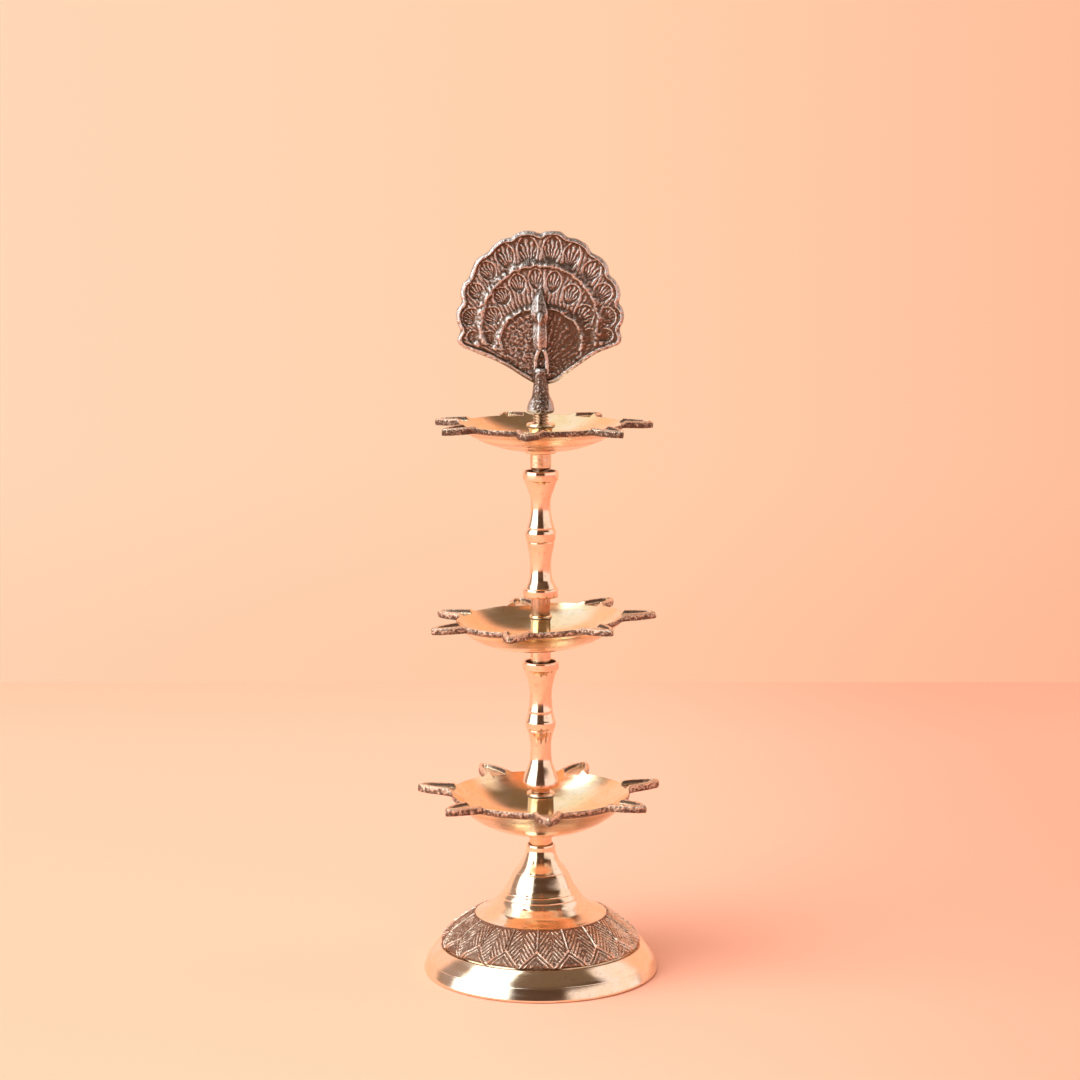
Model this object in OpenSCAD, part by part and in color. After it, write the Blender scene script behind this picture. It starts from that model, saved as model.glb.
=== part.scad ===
// Standing oil lamp (samai) of turned and cast brass: a hollow foot, two baluster
// stems, three seven-spouted oil dishes and a peacock finial, all screwed together
// on threaded studs. Millimetres, +Z up, front of the lamp towards -Y.
// Origin: centre of the foot's underside, on the axis of the studs.

/* [Foot] */
// Radius of the foot where it stands
foot_r = 48.5; // [46:0.5:51]
// Height of the foot, up to the lip of its socket
foot_h = 53.2; // [52:0.2:58]
// Number of leaves in the cast band around the foot
leaf_count = 18; // [12:1:24]

/* [Dishes] */
// Number of wick spouts on each dish
spout_count = 7; // [5:1:8]
// Half width of a spout at its root
spout_w = 5.5; // [4:0.1:6]
// Width of the wall on each side of a wick channel
spout_wall = 1.9; // [1.4:0.1:2.2]
// Rim radius of the lower dish
lower_rim_r = 36.5; // [34:0.5:39]
// Rim radius of the middle dish
middle_rim_r = 34; // [32:0.5:37]
// Rim radius of the upper dish
upper_rim_r = 33; // [31:0.5:36]
// Distance from the axis to a spout's tip on the lower dish
lower_tip_r = 51.5; // [48:0.5:54]
// Distance from the axis to a spout's tip on the middle dish
middle_tip_r = 47.5; // [45:0.5:52]
// Distance from the axis to a spout's tip on the upper dish
upper_tip_r = 45.8; // [44:0.1:50]
// Turn of the lower dish about the axis, in degrees
lower_turn = 4; // [-25:0.1:25]
// Turn of the middle dish about the axis, in degrees
middle_turn = -14.3; // [-25:0.1:25]
// Turn of the upper dish about the axis, in degrees
upper_turn = -6.8; // [-25:0.1:25]
// Casting error of the middle dish: its tilt on its own boss, in degrees
middle_tilt = 2.3; // [0:0.1:2.5]

/* [Stems] */
// Height of the lower stem
lower_stem_h = 52.3; // [48:0.1:70]
// Height of the upper stem
upper_stem_h = 51.9; // [48:0.1:70]
// Thickness factor of both stems' shafts
stem_k = 1; // [1:0.01:1.15]

/* [Threads] */
// Outside diameter of the studs' thread
thread_d = 6.35; // [5.5:0.05:6.4]
// Pitch of the thread
thread_pitch = 1.27; // [1:0.01:1.27]
// Turns that take a joint apart
thread_turns = 6; // [4:1:6]
// Clearance all round a stud in its tapped hole
thread_fit = 0.05; // [0.03:0.01:0.09]

/* [Finial] */
// Number of long feathers in the peacock's fan
feather_count = 12; // [8:2:14]
// Radius of the fan's lobed edge
fan_r = 34; // [31:0.2:36]
// Thickness of the fan's plate
fan_t = 2.6; // [2:0.1:3.5]

/* [Hidden] */
$fn = 96;

stud_r = thread_d / 2;
bore_r = stud_r + thread_fit;
travel = thread_pitch * thread_turns;   // lift of a joint as it unscrews
grip = travel + 0.7;                    // length of stud in the piece below
hole = grip + 0.4;                      // depth of the tapped hole below
chamfer = 0.4;

// Levels up the axis, each from the one below it
foot_seat = foot_h - 2.2;               // floor of the foot's socket
lower_base = foot_h + 5.2;              // underside of the lower dish
lower_boss = lower_base + 16.65;        // top of the lower dish's boss
lower_stem_z = lower_boss + 2.65;
lower_stem_top = lower_stem_z + lower_stem_h;
lower_seat = lower_stem_top - 2.5;
middle_base = lower_stem_top + 5.3;
middle_boss = middle_base + 14;
upper_stem_z = middle_boss + 7.4;
upper_stem_top = upper_stem_z + upper_stem_h;
upper_seat = upper_stem_top - 2.5;
upper_spigot = upper_stem_top + 0.8;    // this spigot stops short of the stem
upper_base = upper_stem_top + 8;
upper_boss = upper_base + 11.3;
finial_z = upper_boss + 4.1;
fan_z = finial_z + 14;                  // point that the feathers fan out from

BRASS = [0.86, 0.66, 0.30];
PALE_BRASS = [0.90, 0.74, 0.42];
DARK_BRASS = [0.38, 0.25, 0.14];
STUD_BRASS = [0.62, 0.48, 0.26];

// ---------- shared shapes ----------

// A blind or through hole for a stud, with a small chamfer at its mouth.
module tapped_hole(z, length, up = true) {
    translate([0, 0, up ? z - length : z]) cylinder(r = bore_r, h = length);
    translate([0, 0, up ? z - chamfer : z])
        cylinder(r1 = up ? bore_r : bore_r + chamfer, r2 = up ? bore_r + chamfer : bore_r, h = chamfer);
}

// A stud between two levels, chamfered at both ends. An optional plain shoulder
// fills the gap between the two pieces that it joins.
module stud(z0, z1, shoulder_r = 0, s0 = 0, s1 = 0) {
    rotate_extrude()
        polygon(concat(
            [[0, z0], [stud_r - chamfer, z0], [stud_r, z0 + chamfer]],
            shoulder_r > 0 ? [[stud_r, s0], [shoulder_r - 0.2, s0], [shoulder_r, s0 + 0.2],
                              [shoulder_r, s1 - 0.2], [shoulder_r - 0.2, s1], [stud_r, s1]] : [],
            [[stud_r, z1 - chamfer], [stud_r - chamfer, z1], [0, z1]]));
}

// Height of a dish's underside above its centre, at radius r.
function under(r, rim, depth, power) = depth * pow(r / rim, power);
// Half width of a spout, at t from 0 at its root to 1 at its tip.
function leaf(t) = pow(1 - t * t, 0.85);

// Pointed outline of a spout along +X, from s0 at its root to s1 at its tip.
function ogive(s0, s1, w, back) = concat(
    [[s0 - back, -w]],
    [for (i = [0:9]) let (t = i / 10) [s0 + (s1 - s0) * t, -w * leaf(t)]],
    [[s1, 0]],
    [for (i = [9:-1:0]) let (t = i / 10) [s0 + (s1 - s0) * t, w * leaf(t)]],
    [[s0 - back, w]]);

// The dish itself, centred on its underside: a turned bowl of even wall, whose
// rim carries pointed tongues with a wick channel in each.
module bowl(rim, tip, depth, power, wall, rise) {
    steps = 16;
    edge = depth + wall;
    difference() {
        union() {
            rotate_extrude() polygon(concat(
                [[0, wall]],
                [for (i = [0:steps]) let (r = rim * i / steps) [r, under(r, rim, depth, power)]],
                [[rim, edge]], [[0, edge]]));
            for (i = [0:spout_count - 1]) rotate([0, 0, i * 360 / spout_count])
                translate([rim, 0, depth + 0.15]) rotate([0, -rise, 0])
                    linear_extrude(wall + 0.75) polygon(ogive(0.3, tip - rim, spout_w, 3.2));
        }
        rotate_extrude() polygon(concat(
            [for (i = [0:steps]) let (r = rim * i / steps) [r, under(r, rim, depth, power) + wall]],
            [[rim, edge + 4]], [[0, edge + 4]]));
        for (i = [0:spout_count - 1]) rotate([0, 0, i * 360 / spout_count])
            translate([rim, 0, edge - 0.2]) rotate([0, -rise, 0])
                linear_extrude(4) polygon(ogive(0.3, tip - rim - 2.6, spout_w - spout_wall, 1.6));
    }
}

// A whole dish casting: bowl, boss on top for the stem above, spigot below.
module diya(base, spigot_z, boss_z, rim, tip, depth, power, wall, rise, turn, tilt,
            boss_r, lip_r, foot_lip, spigot_r, ring_r, low_grip) {
    difference() {
        union() {
            translate([0, 0, base]) rotate([0, -tilt, 0])
                rotate([0, 0, turn - 90]) bowl(rim, tip, depth, power, wall, rise);
            rotate_extrude() polygon([
                [0, spigot_z], [spigot_r - 0.5, spigot_z], [spigot_r, spigot_z + 0.5],
                [spigot_r, base - 0.9], [ring_r - 0.3, base - 0.5], [ring_r, base - 0.2],
                [ring_r + 0.6, base + 0.6], [foot_lip + 0.6, base + wall - 0.4],
                [foot_lip, base + wall + 1], [boss_r + 0.3, base + wall + 3],
                [boss_r, base + wall + 5], [boss_r, boss_z - 2.6], [lip_r, boss_z - 1.6],
                [lip_r, boss_z - 0.4], [lip_r - 0.4, boss_z], [0, boss_z]]);
        }
        tapped_hole(boss_z, hole);
        tapped_hole(spigot_z, low_grip + 0.4, up = false);
    }
}

// A stem turned from a profile of [radius, height] pairs, with an open cup in its
// top and a tapped hole in each end.
module stem(z, h, shape, shape_h, cup_r, seat) {
    difference() {
        translate([0, 0, z]) rotate_extrude() polygon(concat(
            [[0, 0]],
            [for (p = shape) [p[0] * (p[1] > 5 && p[1] < shape_h - 5 ? stem_k : 1), p[1] * h / shape_h]],
            [[0, h]]));
        translate([0, 0, seat]) cylinder(r = cup_r, h = 10);
        tapped_hole(seat, hole);
        tapped_hole(z, 9.4, up = false);
    }
}

// ---------- foot ----------

// Skirt, cast band and trumpet of the foot, as [radius, height].
function foot_k(r) = r > 24 ? r * foot_r / 48.5 : r;
foot_outer = [
    [47.6, 0], [48.5, 0.9], [48.5, 1.4], [46.9, 5.7], [46.7, 5.9], [42, 11.5],
    [40, 11.3], [40, 11.7], [40.5, 11.8], [41, 12.5], [40.9, 13.2], [40.2, 14.2],
    [38.5, 15.8], [36, 18], [33, 20.4], [30, 22.5], [27.6, 24], [26.8, 24.3],
    [26.6, 24.5], [24, 25.4], [21.6, 26.6], [20.2, 27.8], [18.1, 29.8],
    [16.9, 31.5], [16.6, 31.6], [16.7, 31.8], [15.5, 33.5],
    [15.1, 33.6], [15.2, 33.8], [14.8, 34.1], [13.8, 35.7], [12.1, 39.6],
    [10.9, 41.9], [10.5, 42.1], [9.6, 43.5], [8.2, 45.4], [7.05, 47.4], [6.3, 49.2],
    [6, 50.5], [5.9, 52.8], [5.6, 53.2]];
foot_inner = [
    [0, 38], [6, 38], [10.3, 37], [12.6, 32.5], [15, 28.6], [17.5, 25.5], [20.2, 23],
    [25, 20.6], [30.6, 19.4], [33.8, 18], [36.2, 16.4], [37.8, 14.4], [38.2, 12],
    [39.6, 9.8], [44.4, 4.2], [45.6, 0]];

// Radius of the cast band at a height, for the raised ribs that divide its leaves.
function band_r(z) = lookup(z, [[11.8, 40.5], [12.5, 41], [13.2, 40.9], [14.2, 40.2], [15.8, 38.5],
                                [18, 36], [20.4, 33], [22.5, 30], [24, 27.6]]) * foot_r / 48.5;

// One raised rib of the band, standing in the XZ plane.
module band_rib() {
    translate([0, 0.4, 0]) rotate([90, 0, 0]) linear_extrude(0.8) polygon(concat(
        [for (z = [13.5:1:23.5]) [band_r(z) + 0.4, z]],
        [for (z = [23.5:-1:13.5]) [band_r(z) - 1.2, z]]));
}

module foot() {
    color(BRASS) difference() {
        union() {
            rotate_extrude() polygon([for (p = concat(foot_outer, [[0, 53.2]], foot_inner))
                [foot_k(p[0]), p[1] > 26 ? p[1] * (foot_h - 26) / 27.2 + 26 * (53.2 - foot_h) / 27.2 : p[1]]]);
            for (i = [0:leaf_count - 1]) rotate([0, 0, (i + 0.5) * 360 / leaf_count - 90]) band_rib();
        }
        translate([0, 0, foot_seat]) cylinder(r = 4.9, h = 10);
        tapped_hole(foot_seat, hole);
    }
}

// ---------- studs ----------

module foot_stud() color(STUD_BRASS) stud(foot_seat - grip, foot_seat + 9);
module lower_boss_stud() color(PALE_BRASS)
    stud(lower_boss - grip, lower_stem_z + 9, 3.85, lower_boss, lower_stem_z);
module lower_stem_stud() color(STUD_BRASS) stud(lower_seat - grip, lower_seat + 9);
module middle_boss_stud() color(PALE_BRASS)
    stud(middle_boss - grip, upper_stem_z + 9, 3.97, middle_boss, upper_stem_z);
module upper_stem_stud() color(STUD_BRASS) stud(upper_seat - hole, upper_spigot + 7.5);
module finial_stud() color(STUD_BRASS) stud(upper_boss - hole, finial_z + 5.3);

// ---------- dishes ----------

module lower_diya() color(BRASS)
    diya(lower_base, foot_seat, lower_boss, lower_rim_r, lower_tip_r, 14.5, 2.8, 2.2, 3,
         lower_turn, 0, 5.4, 5.85, 6, 4.6, 5.6, 9);

module middle_diya() color(BRASS)
    diya(middle_base, lower_seat, middle_boss, middle_rim_r, middle_tip_r, 10.8, 3, 2, 0,
         middle_turn, middle_tilt, 4.1, 4.57, 5.2, 4.15, 5.2, 9);

module upper_diya() color(BRASS)
    diya(upper_base, upper_spigot, upper_boss, upper_rim_r, upper_tip_r, 9.4, 2.5, 2, -3,
         upper_turn, 0, 4.7, 5.8, 5.6, 4.27, 6.4, 7.5);

// ---------- stems ----------

module lower_stem() color(PALE_BRASS)
    stem(lower_stem_z, lower_stem_h, [
        [7.3, 0], [7.6, 0.3], [7.5, 2], [7.2, 3.4], [6.6, 5.2], [5.85, 7.1], [5.1, 9],
        [4.6, 10.7], [4.4, 12.6], [4.32, 15.5], [4.35, 18.3], [4.6, 19.8], [5.1, 22],
        [5.6, 23.6], [5.45, 23.8], [5.8, 24.2], [6.15, 25.8], [6.25, 26.8], [6, 27.7],
        [5.6, 28.9], [5.3, 30.2], [5.2, 30.8], [4.9, 31], [5, 31.4], [4.75, 34],
        [4.55, 36.6], [4.55, 38.4], [4.7, 40.8], [5, 42.4], [5.5, 44.2], [5.9, 45.8],
        [6.4, 47.2], [7.1, 48.6], [7.3, 49], [7.5, 49.4], [7.5, 51.9], [7.2, 52.3]],
        52.3, 6, lower_seat);

module upper_stem() color(PALE_BRASS)
    stem(upper_stem_z, upper_stem_h, [
        [6.9, 0], [7.2, 0.3], [7.2, 3.2], [6.9, 3.6], [6.4, 4.4], [5.6, 5.7], [4.9, 7],
        [4.5, 8.9], [4.3, 10.6], [4.3, 13], [4.45, 15.4], [4.7, 17.2], [5.1, 19.3],
        [5.5, 21.6], [5.7, 22.5], [5.5, 22.7], [5.8, 23], [6.15, 24.4], [6.3, 26.3],
        [6.1, 27.4], [5.7, 28.2], [5.5, 28.3], [5.6, 28.6], [5.1, 30.4], [4.6, 32.4],
        [4.25, 34.2], [4.1, 36], [4.1, 39.8], [4.4, 41.5], [4.9, 42.7], [5.5, 44.5],
        [6.1, 46.4], [6.7, 47.6], [6.9, 47.9], [7.3, 48.4], [7.3, 51.5], [7, 51.9]],
        51.9, 6, upper_seat);

// ---------- peacock finial ----------

fan_mid = fan_z + 25.2;                 // centre of the circle that the lobes touch
fan_y = 1.2;                            // front face of the fan's plate
feather_gap = 134 / feather_count;

// Distance from the feathers' meeting point to the lobed edge, in direction a.
function reach(a) = 25.2 * sin(a) + sqrt(fan_r * fan_r - pow(25.2 * cos(a), 2));
function feather_a(i) = 90 + (i - (feather_count - 1) / 2) * feather_gap;
// Radius of the round end of the feather in direction a.
function lobe_r(a) = reach(a) * sin(feather_gap / 2) * 1.3;

// Outline of the fan in the XZ plane, with the feathers' meeting point as origin.
module fan_outline() {
    edge = feather_a(0);
    polygon(concat(
        [[-6.5, -1.5], [6.5, -1.5], [14.5, 4.5], [23.5, 9.4], [30, 12]],
        [for (i = [0:feather_count - 1]) let (a = feather_a(i), d = reach(a) - lobe_r(a)) d * [cos(a), sin(a)]],
        [[-30, 12], [-23.5, 9.4], [-14.5, 4.5]]));
    for (i = [0:feather_count - 1]) let (a = feather_a(i), d = reach(a) - lobe_r(a))
        translate(d * [cos(a), sin(a)]) circle(r = lobe_r(a));
}

// Stands a flat outline upright, from y0 towards the front by t.
module upright(y0, t) {
    translate([0, y0, fan_z]) rotate([90, 0, 0]) linear_extrude(t) children();
}

// A leaf-shaped eye with its stalk towards the meeting point.
module eye(a, d, r) {
    rotate([0, 0, a]) {
        translate([d, 0]) circle(r = r);
        polygon([[d - 2.6 * r, 0], [d - 0.2 * r, -0.98 * r], [d - 0.2 * r, 0.98 * r]]);
    }
}

// Raised arc of the fan, as a ring between two radii, cut off at the bottom.
module fan_arc(r, w, squash) {
    translate([0, squash]) difference() {
        circle(r = r);
        circle(r = r - w);
        translate([-50, -100 - 0.35 * r]) square([100, 100]);
    }
}

module pedestal() {
    translate([0, 0, finial_z]) difference() {
        rotate_extrude() polygon([
            [0, 0], [5, 0], [5.6, 0.9], [5.6, 1.6], [5.3, 3.2], [4.8, 4.9], [3.9, 6.5],
            [3.4, 8], [3.1, 10.5], [2.8, 12.5], [2.8, 17.5], [0, 17.5]]);
        translate([0, 0, 0]) cylinder(r = bore_r, h = 5.7);
        cylinder(r1 = bore_r + chamfer, r2 = bore_r, h = chamfer);
    }
}

module peacock_finial() color(DARK_BRASS) {
    pedestal();
    // Fan plate and its relief
    upright(fan_y + fan_t, fan_t) fan_outline();
    upright(fan_y + 0.2, 0.9) {
        for (i = [0:feather_count - 1]) let (a = feather_a(i), r = lobe_r(a))
            eye(a, reach(a) - 0.95 * r, 0.48 * r);
        fan_arc(24.6, 1.2, 24);
        fan_arc(15.6, 1.2, 17.5);
    }
    upright(fan_y + 0.2, 0.7)
        for (i = [0:7]) let (a = 90 + (i - 3.5) * 17) eye(a, 24 + 11.5 * sin(a), 2.7);
    // Breast and keel, neck and head
    hull() {
        translate([0, -1.1, fan_z + 11.4]) sphere(r = 1.5, $fn = 24);
        translate([0, 0.2, fan_z + 16.5]) sphere(r = 2.9, $fn = 28);
        translate([0, -1.2, fan_z + 17]) sphere(r = 2, $fn = 24);
        translate([0, -0.4, fan_z + 22]) sphere(r = 2.4, $fn = 24);
    }
    hull() {
        translate([0, -0.4, fan_z + 22]) sphere(r = 2.4, $fn = 24);
        translate([0, -1.5, fan_z + 26.5]) sphere(r = 2.6, $fn = 28);
        translate([0, 0.4, fan_z + 26.5]) sphere(r = 3.1, $fn = 28);
    }
    // Beak
    translate([-0.2, -2.6, fan_z + 25.9]) rotate([128, 0, 0]) cylinder(r1 = 1.6, r2 = 0.4, h = 4.6);
    // Crest
    hull() {
        translate([-0.1, -0.6, fan_z + 29]) sphere(r = 2.1, $fn = 24);
        translate([-0.3, -0.2, fan_z + 34.4]) sphere(r = 0.8, $fn = 20);
    }
    // Legs on each side of the hollow under the breast
    for (x = [-1, 1]) translate([1.75 * x, -0.4, fan_z + 2.2]) cylinder(r = 0.85, h = 9.6);
}

foot();
foot_stud();
lower_diya();
lower_boss_stud();
lower_stem();
lower_stem_stud();
middle_diya();
middle_boss_stud();
upper_stem();
upper_stem_stud();
upper_diya();
finial_stud();
peacock_finial();
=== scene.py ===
import math
import bpy
import numpy as np
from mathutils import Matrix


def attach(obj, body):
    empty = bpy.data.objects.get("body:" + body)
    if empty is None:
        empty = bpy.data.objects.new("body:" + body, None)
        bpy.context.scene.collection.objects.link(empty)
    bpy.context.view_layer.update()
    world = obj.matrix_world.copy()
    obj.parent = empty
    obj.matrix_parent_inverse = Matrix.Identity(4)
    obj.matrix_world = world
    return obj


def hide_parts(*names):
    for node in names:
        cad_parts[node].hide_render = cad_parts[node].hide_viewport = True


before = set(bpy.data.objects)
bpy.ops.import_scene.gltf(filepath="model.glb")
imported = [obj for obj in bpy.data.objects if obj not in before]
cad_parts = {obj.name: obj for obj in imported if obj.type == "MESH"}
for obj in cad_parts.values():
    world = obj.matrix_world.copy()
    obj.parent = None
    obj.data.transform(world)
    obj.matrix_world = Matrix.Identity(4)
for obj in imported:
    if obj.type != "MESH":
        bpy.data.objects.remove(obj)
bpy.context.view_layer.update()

# Every mesh below is built in millimetres, in the CAD model's own frame, and written in metres.
MM = 0.001


# ------------------------------------------------------------------ camera
cam_data = bpy.data.cameras.new("camera")
cam_data.sensor_width = 36.0
cam_data.lens = 91.54
cam_data.clip_start = 0.02
cam_data.clip_end = 50.0
camera = bpy.data.objects.new("camera", cam_data)
camera.location = (-0.00028, -1.1051, 0.34755)
camera.rotation_euler = (math.radians(90.0 - 8.617), 0.0, 0.0)
bpy.context.scene.collection.objects.link(camera)
bpy.context.scene.camera = camera


# ------------------------------------------------------------------ seeded noise on points
def _hash(i, j, k, seed):
    n = (i * 374761393 + j * 668265263 + k * 1442695041 + seed * 97471153) & 0xFFFFFFFF
    n = ((n ^ (n >> 13)) * 1274126177) & 0xFFFFFFFF
    n = ((n ^ (n >> 15)) * 668265263) & 0xFFFFFFFF
    return ((n ^ (n >> 16)) & 0xFFFF) / 32767.5 - 1.0


def noise(p, scale, seed=0):
    """Smooth noise from -1 to 1 at points p (..., 3), with cells of the given size."""
    q = np.asarray(p, float) / scale
    b = np.floor(q).astype(np.int64)
    f = q - b
    f = f * f * f * (f * (f * 6 - 15) + 10)
    out = 0.0
    for di in (0, 1):
        wi = f[..., 0] if di else 1 - f[..., 0]
        for dj in (0, 1):
            wj = f[..., 1] if dj else 1 - f[..., 1]
            for dk in (0, 1):
                wk = f[..., 2] if dk else 1 - f[..., 2]
                out = out + wi * wj * wk * _hash(b[..., 0] + di, b[..., 1] + dj, b[..., 2] + dk, seed)
    return out


def fbm(p, scale, octaves=3, seed=0, gain=0.55):
    out, a, s, t = 0.0, 1.0, scale, 0.0
    for o in range(octaves):
        out = out + a * noise(p, s, seed + 17 * o)
        t += a
        a *= gain
        s *= 0.5
    return out / t


def smooth(a, b, x):
    t = np.clip((x - a) / (b - a), 0, 1)
    return t * t * (3 - 2 * t)


# ------------------------------------------------------------------ profiles
def spline(pts, step=0.05):
    """Points along a centripetal Catmull-Rom curve through pts."""
    p = np.asarray(pts, float)
    if len(p) == 2:
        n = max(2, int(np.linalg.norm(p[1] - p[0]) / step))
        return p[0] + (p[1] - p[0]) * np.linspace(0, 1, n)[:, None]
    p = np.vstack([2 * p[0] - p[1], p, 2 * p[-1] - p[-2]])
    out = []
    for i in range(1, len(p) - 2):
        p0, p1, p2, p3 = p[i - 1:i + 3]
        t0 = 0.0
        t1 = t0 + math.sqrt(np.linalg.norm(p1 - p0)) + 1e-9
        t2 = t1 + math.sqrt(np.linalg.norm(p2 - p1)) + 1e-9
        t3 = t2 + math.sqrt(np.linalg.norm(p3 - p2)) + 1e-9
        n = max(2, int(np.linalg.norm(p2 - p1) / step))
        t = np.linspace(t1, t2, n, endpoint=False)[:, None]
        a1 = (t1 - t) / (t1 - t0) * p0 + (t - t0) / (t1 - t0) * p1
        a2 = (t2 - t) / (t2 - t1) * p1 + (t - t1) / (t2 - t1) * p2
        a3 = (t3 - t) / (t3 - t2) * p2 + (t - t2) / (t3 - t2) * p3
        b1 = (t2 - t) / (t2 - t0) * a1 + (t - t0) / (t2 - t0) * a2
        b2 = (t3 - t) / (t3 - t1) * a2 + (t - t1) / (t3 - t1) * a3
        out.append((t2 - t) / (t2 - t1) * b1 + (t - t1) / (t2 - t1) * b2)
    out.append(p[-2][None])
    return np.vstack(out)


def resample(p, step):
    d = np.r_[0, np.cumsum(np.linalg.norm(np.diff(p, axis=0), axis=1))]
    n = max(2, int(round(d[-1] / step)) + 1)
    s = np.linspace(0, d[-1], n)
    return np.c_[np.interp(s, d, p[:, 0]), np.interp(s, d, p[:, 1])]


def soften(p, sigma, step):
    """Round the corners of an evenly spaced polyline; its two ends stay where they are."""
    n = int(3 * sigma / step)
    if n < 1:
        return p
    k = np.exp(-0.5 * (np.arange(-n, n + 1) * step / sigma) ** 2)
    k /= k.sum()
    q = np.vstack([2 * p[0] - p[1:n + 1][::-1], p, 2 * p[-1] - p[-n - 1:-1][::-1]])
    return np.c_[np.convolve(q[:, 0], k, "valid"), np.convolve(q[:, 1], k, "valid")]


def thin(p, tol, longest):
    """Drop points of a polyline that lie within tol of it, keeping spans below longest."""
    keep = np.zeros(len(p), bool)
    keep[0] = keep[-1] = True
    stack = [(0, len(p) - 1)]
    while stack:
        a, b = stack.pop()
        if b <= a + 1:
            continue
        d = p[b] - p[a]
        span = np.linalg.norm(d)
        m = p[a + 1:b] - p[a]
        if span < 1e-9:
            e = np.linalg.norm(m, axis=1)
        else:
            e = np.abs(m[:, 0] * d[1] - m[:, 1] * d[0]) / span
        i = int(np.argmax(e))
        if e[i] > tol or span > longest:
            c = a + 1 + (i if e[i] > tol else (b - a) // 2 - 1)
            c = min(max(c, a + 1), b - 1)
            keep[c] = True
            stack += [(a, c), (c, b)]
    return p[keep]


def profile(*runs, sigma=0.07, tol=0.004, longest=1.5):
    """Runs of points, each splined, joined by corners that are then rounded a little."""
    step = 0.03
    line = np.vstack([spline(r, 0.05) for r in runs])
    line = resample(line, step)
    return thin(soften(line, sigma, step), tol, longest)


# ------------------------------------------------------------------ meshes
def make_object(name, verts, quads, tris, attrs, material, body, node, sharp=40):
    """A closed mesh from numpy arrays, in mm, that rides on a body and stands for a CAD node."""
    me = bpy.data.meshes.new(name)
    quads = np.asarray(quads, np.int32).reshape(-1, 4)
    tris = np.asarray(tris, np.int32).reshape(-1, 3)
    me.vertices.add(len(verts))
    me.vertices.foreach_set("co", (np.asarray(verts, np.float64) * MM).astype(np.float32).ravel())
    loops = np.concatenate([quads.ravel(), tris.ravel()]).astype(np.int32)
    starts = np.concatenate([np.arange(len(quads)) * 4, len(quads) * 4 + np.arange(len(tris)) * 3]).astype(np.int32)
    me.loops.add(len(loops))
    me.loops.foreach_set("vertex_index", loops)
    me.polygons.add(len(starts))
    me.polygons.foreach_set("loop_start", starts)
    me.polygons.foreach_set("use_smooth", np.ones(len(starts), bool))
    me.update(calc_edges=True)
    me.validate()
    for key, value in attrs.items():
        a = me.attributes.new(key, "FLOAT", "POINT")
        a.data.foreach_set("value", np.asarray(value, np.float32).ravel())
    if sharp:
        me.set_sharp_from_angle(angle=math.radians(sharp))
    me.materials.append(material)
    ob = bpy.data.objects.new(name, me)
    bpy.context.scene.collection.objects.link(ob)
    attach(ob, body)
    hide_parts(node)
    return ob


def grid_skin(P, first, last):
    """Vertices and faces of a closed skin: rows of a wrapped grid, closed by a point at each end."""
    rows, cols = P.shape[:2]
    verts = np.vstack([P.reshape(-1, 3), np.asarray(first, float)[None], np.asarray(last, float)[None]])
    i = np.arange(rows - 1)[:, None] * cols
    j = np.arange(cols)[None, :]
    k = (j + 1) % cols
    quads = np.stack([i + j, i + k, i + cols + k, i + cols + j], -1).reshape(-1, 4)
    j = np.arange(cols)
    k = (j + 1) % cols
    a, b = rows * cols, rows * cols + 1
    e = (rows - 1) * cols
    tris = np.vstack([np.stack([np.full(cols, a), k, j], -1),
                      np.stack([np.full(cols, b), e + j, e + k], -1)])
    return verts, quads, tris


def painted_shade_in_hollows(verts, shaded_hollows):
    """Painted shade: 1 on the walls of the given hollows about the axis, 0 elsewhere."""
    r = np.hypot(verts[:, 0], verts[:, 1])
    dark = np.zeros(len(verts))
    for rad, z0, z1 in shaded_hollows:
        dark = np.maximum(dark, (r < rad) * smooth(z0 - 0.1, z0, verts[:, 2]) * smooth(z1 + 0.05, z1 - 0.1, verts[:, 2]))
    return dark


def turned(name, prof, cols, material, body, node, wobble=0.0, cast=0.0, seed=0, sharp=40, shaded_hollows=()):
    """A turned piece from a closed profile that starts and ends on the axis.

    The hollows given as (radius, bottom, top) get painted shade: their walls are coloured dark.
    """
    a = np.arange(cols) * 2 * math.pi / cols
    r, z = prof[1:-1, 0][:, None], prof[1:-1, 1][:, None]
    P = np.stack([r * np.cos(a), r * np.sin(a), z + 0 * a], -1)
    if wobble:
        n = fbm(P, 1.2, 3, seed)
        P[..., :2] *= (1 + wobble * n / np.maximum(r, 1.0))[..., None]
    verts, quads, tris = grid_skin(P, (0, 0, prof[0, 1]), (0, 0, prof[-1, 1]))
    dark = painted_shade_in_hollows(verts, shaded_hollows)
    return make_object(name, verts, quads, tris, {"cast": np.maximum(dark, cast), "relief": -dark},
                       material, body, node, sharp)


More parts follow.
